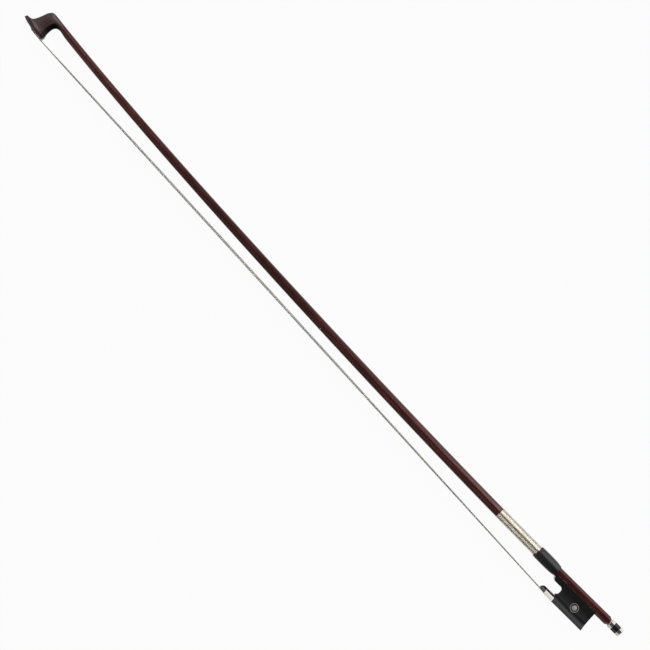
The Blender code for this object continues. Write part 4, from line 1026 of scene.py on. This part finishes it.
def make_ferrule():
    """The nickel silver band round the tongue and the hair, its rear edge curved with the throat."""
    ferrule = rolled("ferrule_shell", [ferrule_ring(*line) for line in FERRULE_RINGS], closed=True)
    smooth(ferrule, 30)
    finish(ferrule, SILVER, "frog", "ferrule")


def make_eyes():
    """A silver ring and a pearl dot let into each side of the frog, tilted with its flare."""
    level = flare(EYE_Y)
    tilt = math.atan((flare(EYE_Y + 1) - flare(EYE_Y - 1)) / 2)
    for side, word in ((1, "left"), (-1, "right")):
        clear_selection()
        bpy.ops.mesh.primitive_torus_add(
            location=row(-EYE_AT, -EYE_Y, side * (level - EYE_WIRE_SINK)),
            major_segments=64,
            minor_segments=12,
            major_radius=(EYE_RADIUS - EYE_WIRE) * MM,
            minor_radius=EYE_WIRE * MM,
        )
        ring = take(f"eye_ring_{word}_polished")
        ring.scale = (1, 1, EYE_WIRE_FLATNESS)
        ring.rotation_euler = (-side * tilt, 0, 0)
        bpy.ops.object.transform_apply(location=True, rotation=True, scale=True)
        smooth(ring, 60)
        finish(ring, DULL_SILVER, "frog", f"eye_ring_{word}")
        clear_selection()
        bpy.ops.mesh.primitive_cylinder_add(
            vertices=48,
            radius=PEARL_RADIUS * MM,
            depth=PEARL_THICKNESS * MM,
            location=row(-EYE_AT, -EYE_Y, side * (level - PEARL_SINK)),
        )
        pearl = take(f"eye_pearl_{word}_polished")
        pearl.rotation_euler = (-side * tilt, 0, 0)
        bpy.ops.object.transform_apply(location=True, rotation=True, scale=True)
        bevelled(pearl, 0.12, 3, 30)
        smooth(pearl, 40)
        finish(pearl, PEARL, "frog", f"eye_pearl_{word}")


# Button

CORNER_EASE = 0.05
# Each part of the button along the screw: distances past the stick's tail end and widths across flats.
COLLAR_PROFILE = (
    (0.35, 6.0), (0.45, 6.3), (1.25, 7.75), (1.45, 7.95),
    (1.7, 8.0), (4.55, 8.0), (4.7, 7.94), (4.78, 7.8),
)
BARREL_PROFILE = ((4.85, 7.7), (4.92, 7.86), (5.05, 7.94), (10.25, 7.94), (10.38, 7.86), (10.45, 7.7))
CAP_PROFILE = (
    (10.52, 7.8), (10.6, 7.94), (10.75, 8.0), (13.1, 8.0),
    (13.45, 7.85), (13.9, 7.2), (14.22, 6.55), (14.36, 5.9),
)


def octagon_ring(x, flats):
    """An octagon with flats up and sideways and eased corners, square to the screw."""
    ring = []
    half = flats / 2
    reach = half * math.tan(math.pi / 8) - CORNER_EASE
    corner_reach = half / math.cos(math.pi / 8) - CORNER_EASE * 0.42
    for k in range(8):
        angle = k * math.pi / 4
        out = Vector((0, math.cos(angle), math.sin(angle)))
        side = Vector((0, -math.sin(angle), math.cos(angle)))
        for step in (-1, 1):
            ring.append(Vector((x, 0, 0)) + out * half + side * reach * step)
        corner = angle + math.pi / 8
        ring.append(Vector((x, 0, 0)) + Vector((0, math.cos(corner), math.sin(corner))) * corner_reach)
    return ring


def make_button():
    """The eight-sided adjusting button: two silver bands with an ebony barrel between them."""
    for name, profile, surface, node in (
        ("button_front_band", COLLAR_PROFILE, SILVER, "button_collar"),
        ("button_ebony", BARREL_PROFILE, EBONY, "button_barrel"),
        ("button_end_band", CAP_PROFILE, SILVER, "button_cap"),
    ):
        piece = rolled(name, [octagon_ring(x, flats) for x, flats in profile])
        smooth(piece, 14)
        finish(piece, surface, "screw", node)


KEPT = {
    "frog_plug": MAPLE,
    "ferrule_wedge": WEDGE_WOOD,
    "head_knot_thread": THREAD,
    "frog_knot_thread": THREAD,
    "winding_core": THREAD,
    "pearl_slide": PEARL,
    "slide_backing": EBONY,
    "underslide_pin_front": SILVER,
    "underslide_pin_rear": SILVER,
    "eyelet": BRASS,
    "screw": STEEL,
}


def dress_kept():
    """CAD pieces whose shape is right keep it and get their real finish."""
    for node, surface in KEPT.items():
        for slot in bpy.data.objects[node].material_slots:
            slot.material = surface


make_stick()
make_plate()
make_plug()
make_winding()
make_grip()
make_hair()
make_frog()
make_underslide()
make_ferrule()
make_eyes()
make_button()
dress_kept()


# Table, light and camera, in metres

TABLE_SIZE = 8.0
CAMERA_LENS = 135
CAMERA_SENSOR = 36
VIEW_WIDTH = 0.5655  # of what the photograph shows at the bow's mid height
VIEW_MIDDLE = Vector((0.00168, 0.00264, 0.0067))
VIEW_RIGHT = Vector((0.7130, 0.7012, 0)).normalized()


def make_table():
    """A pale matt table that keeps the bow's shadow and looks white to the camera and in gloss."""
    clear_selection()
    bpy.ops.mesh.primitive_plane_add(size=TABLE_SIZE, location=(0, 0, 0))
    table = take("white_table")
    surface, tree, shader = new_finish("white_table", Roughness=0.9, Base_Color=linear("#b4b4b4"))
    path = add(tree, "ShaderNodeLightPath").outputs
    seen = maths(tree, "MULTIPLY", path["Is Camera Ray"], 0.96)
    through = maths(tree, "MULTIPLY", path["Is Transmission Ray"], 0.93)
    either = maths(tree, "MAXIMUM", seen, path["Is Glossy Ray"])
    share = maths(tree, "MAXIMUM", either, through)
    glow = add(tree, "ShaderNodeEmission", {"Color": linear("#ffffff"), "Strength": 1.0})
    mixed = add(tree, "ShaderNodeMixShader", {0: share, 1: shader, 2: glow})
    fill(tree, tree.nodes["Material Output"], {"Surface": mixed})
    table.data.materials.append(surface)


def make_world():
    """A white studio to the camera. To gloss it is a dim room with the softboxes' glow along its sides."""
    world = bpy.data.worlds.new("studio")
    bpy.context.scene.world = world
    world.use_nodes = True
    tree = world.node_tree
    path = add(tree, "ShaderNodeLightPath").outputs
    direction = add(tree, "ShaderNodeTexCoord").outputs["Generated"]
    x, y, z = add(tree, "ShaderNodeSeparateXYZ", {"Vector": direction}).outputs
    slant = maths(tree, "DIVIDE", y, z)
    # The softbox on the tip's side and, past the table's edge, the one on the frog's.
    lean = maths(tree, "ABSOLUTE", slant)
    tipward = maths(tree, "MULTIPLY", x, -1.0)
    upper = ramp(tree, y, -0.05, 0.05)
    frogward = maths(tree, "MULTIPLY", x, upper)
    aside = maths(tree, "MAXIMUM", tipward, frogward)
    power = ramp(tree, y, -0.05, 0.05, 2.7, 1.2)
    tall = ramp(tree, lean, 0.13, 0.9, 0.05, power)
    wide = ramp(tree, aside, 0.2, 0.4)
    sides = maths(tree, "MULTIPLY", tall, wide)
    # The wall above the bow, with a dark gap over its middle.
    shifted = maths(tree, "ADD", x, 0.027)
    gap = maths(tree, "ABSOLUTE", shifted)
    wall = ramp(tree, slant, 0.05, 0.42, 0.05, 1.3)
    beside = ramp(tree, gap, 0.07, 0.15, 0.05, 1.0)
    above = maths(tree, "MULTIPLY", wall, beside)
    # The dim wall below it, dimmer still on the frog's side.
    dim = ramp(tree, x, 0.15, 0.3, 0.36, 0.05)
    below = ramp(tree, slant, -0.25, -0.13, dim, 0.02)
    walls = maths(tree, "MAXIMUM", above, below)
    room = maths(tree, "MAXIMUM", walls, sides)
    glossy = maths(tree, "MULTIPLY", path["Is Glossy Ray"], room)
    soft = maths(tree, "MULTIPLY", path["Is Diffuse Ray"], 0.3)
    lit = maths(tree, "MAXIMUM", glossy, soft)
    level = maths(tree, "MAXIMUM", lit, path["Is Camera Ray"])
    fill(tree, tree.nodes["Background"], {"Color": linear("#ffffff"), "Strength": level})


def make_softbox(name, place, size, power):
    """A rectangular lamp turned towards the bow's length."""
    clear_selection()
    bpy.ops.object.light_add(type="AREA", location=place)
    lamp = bpy.context.object
    lamp.name = name
    lamp.data.shape = "RECTANGLE"
    lamp.data.size = size[0]
    lamp.data.size_y = size[1]
    lamp.data.energy = power
    aim = (Vector((place[0], 0, 0)) - Vector(place)).to_track_quat("-Z", "Y")
    lamp.rotation_euler = aim.to_euler()


def make_camera():
    """A long lens straight over the table, turned so that the bow lies as in the photograph."""
    clear_selection()
    bpy.ops.object.camera_add()
    camera = bpy.context.object
    camera.name = "photo_camera"
    camera.data.type = "PERSP"
    camera.data.lens = CAMERA_LENS
    camera.data.sensor_width = CAMERA_SENSOR
    camera.data.clip_end = 50
    up = Vector((-VIEW_RIGHT.y, VIEW_RIGHT.x, 0))
    turn = Matrix((VIEW_RIGHT, up, Vector((0, 0, 1)))).transposed().to_4x4()
    distance = VIEW_WIDTH * CAMERA_LENS / CAMERA_SENSOR
    camera.matrix_world = Matrix.Translation(VIEW_MIDDLE + Vector((0, 0, distance))) @ turn
    bpy.context.scene.camera = camera


make_table()
make_world()
make_softbox("key_light_tip", (-1.04, 1.76, 1.32), (0.92, 1.87), 16.2)
make_softbox("key_light_frog", (0.945, 1.76, 1.32), (1.11, 1.87), 19.8)
make_camera()

bpy.context.scene.view_settings.view_transform = "Standard"
clear_selection()
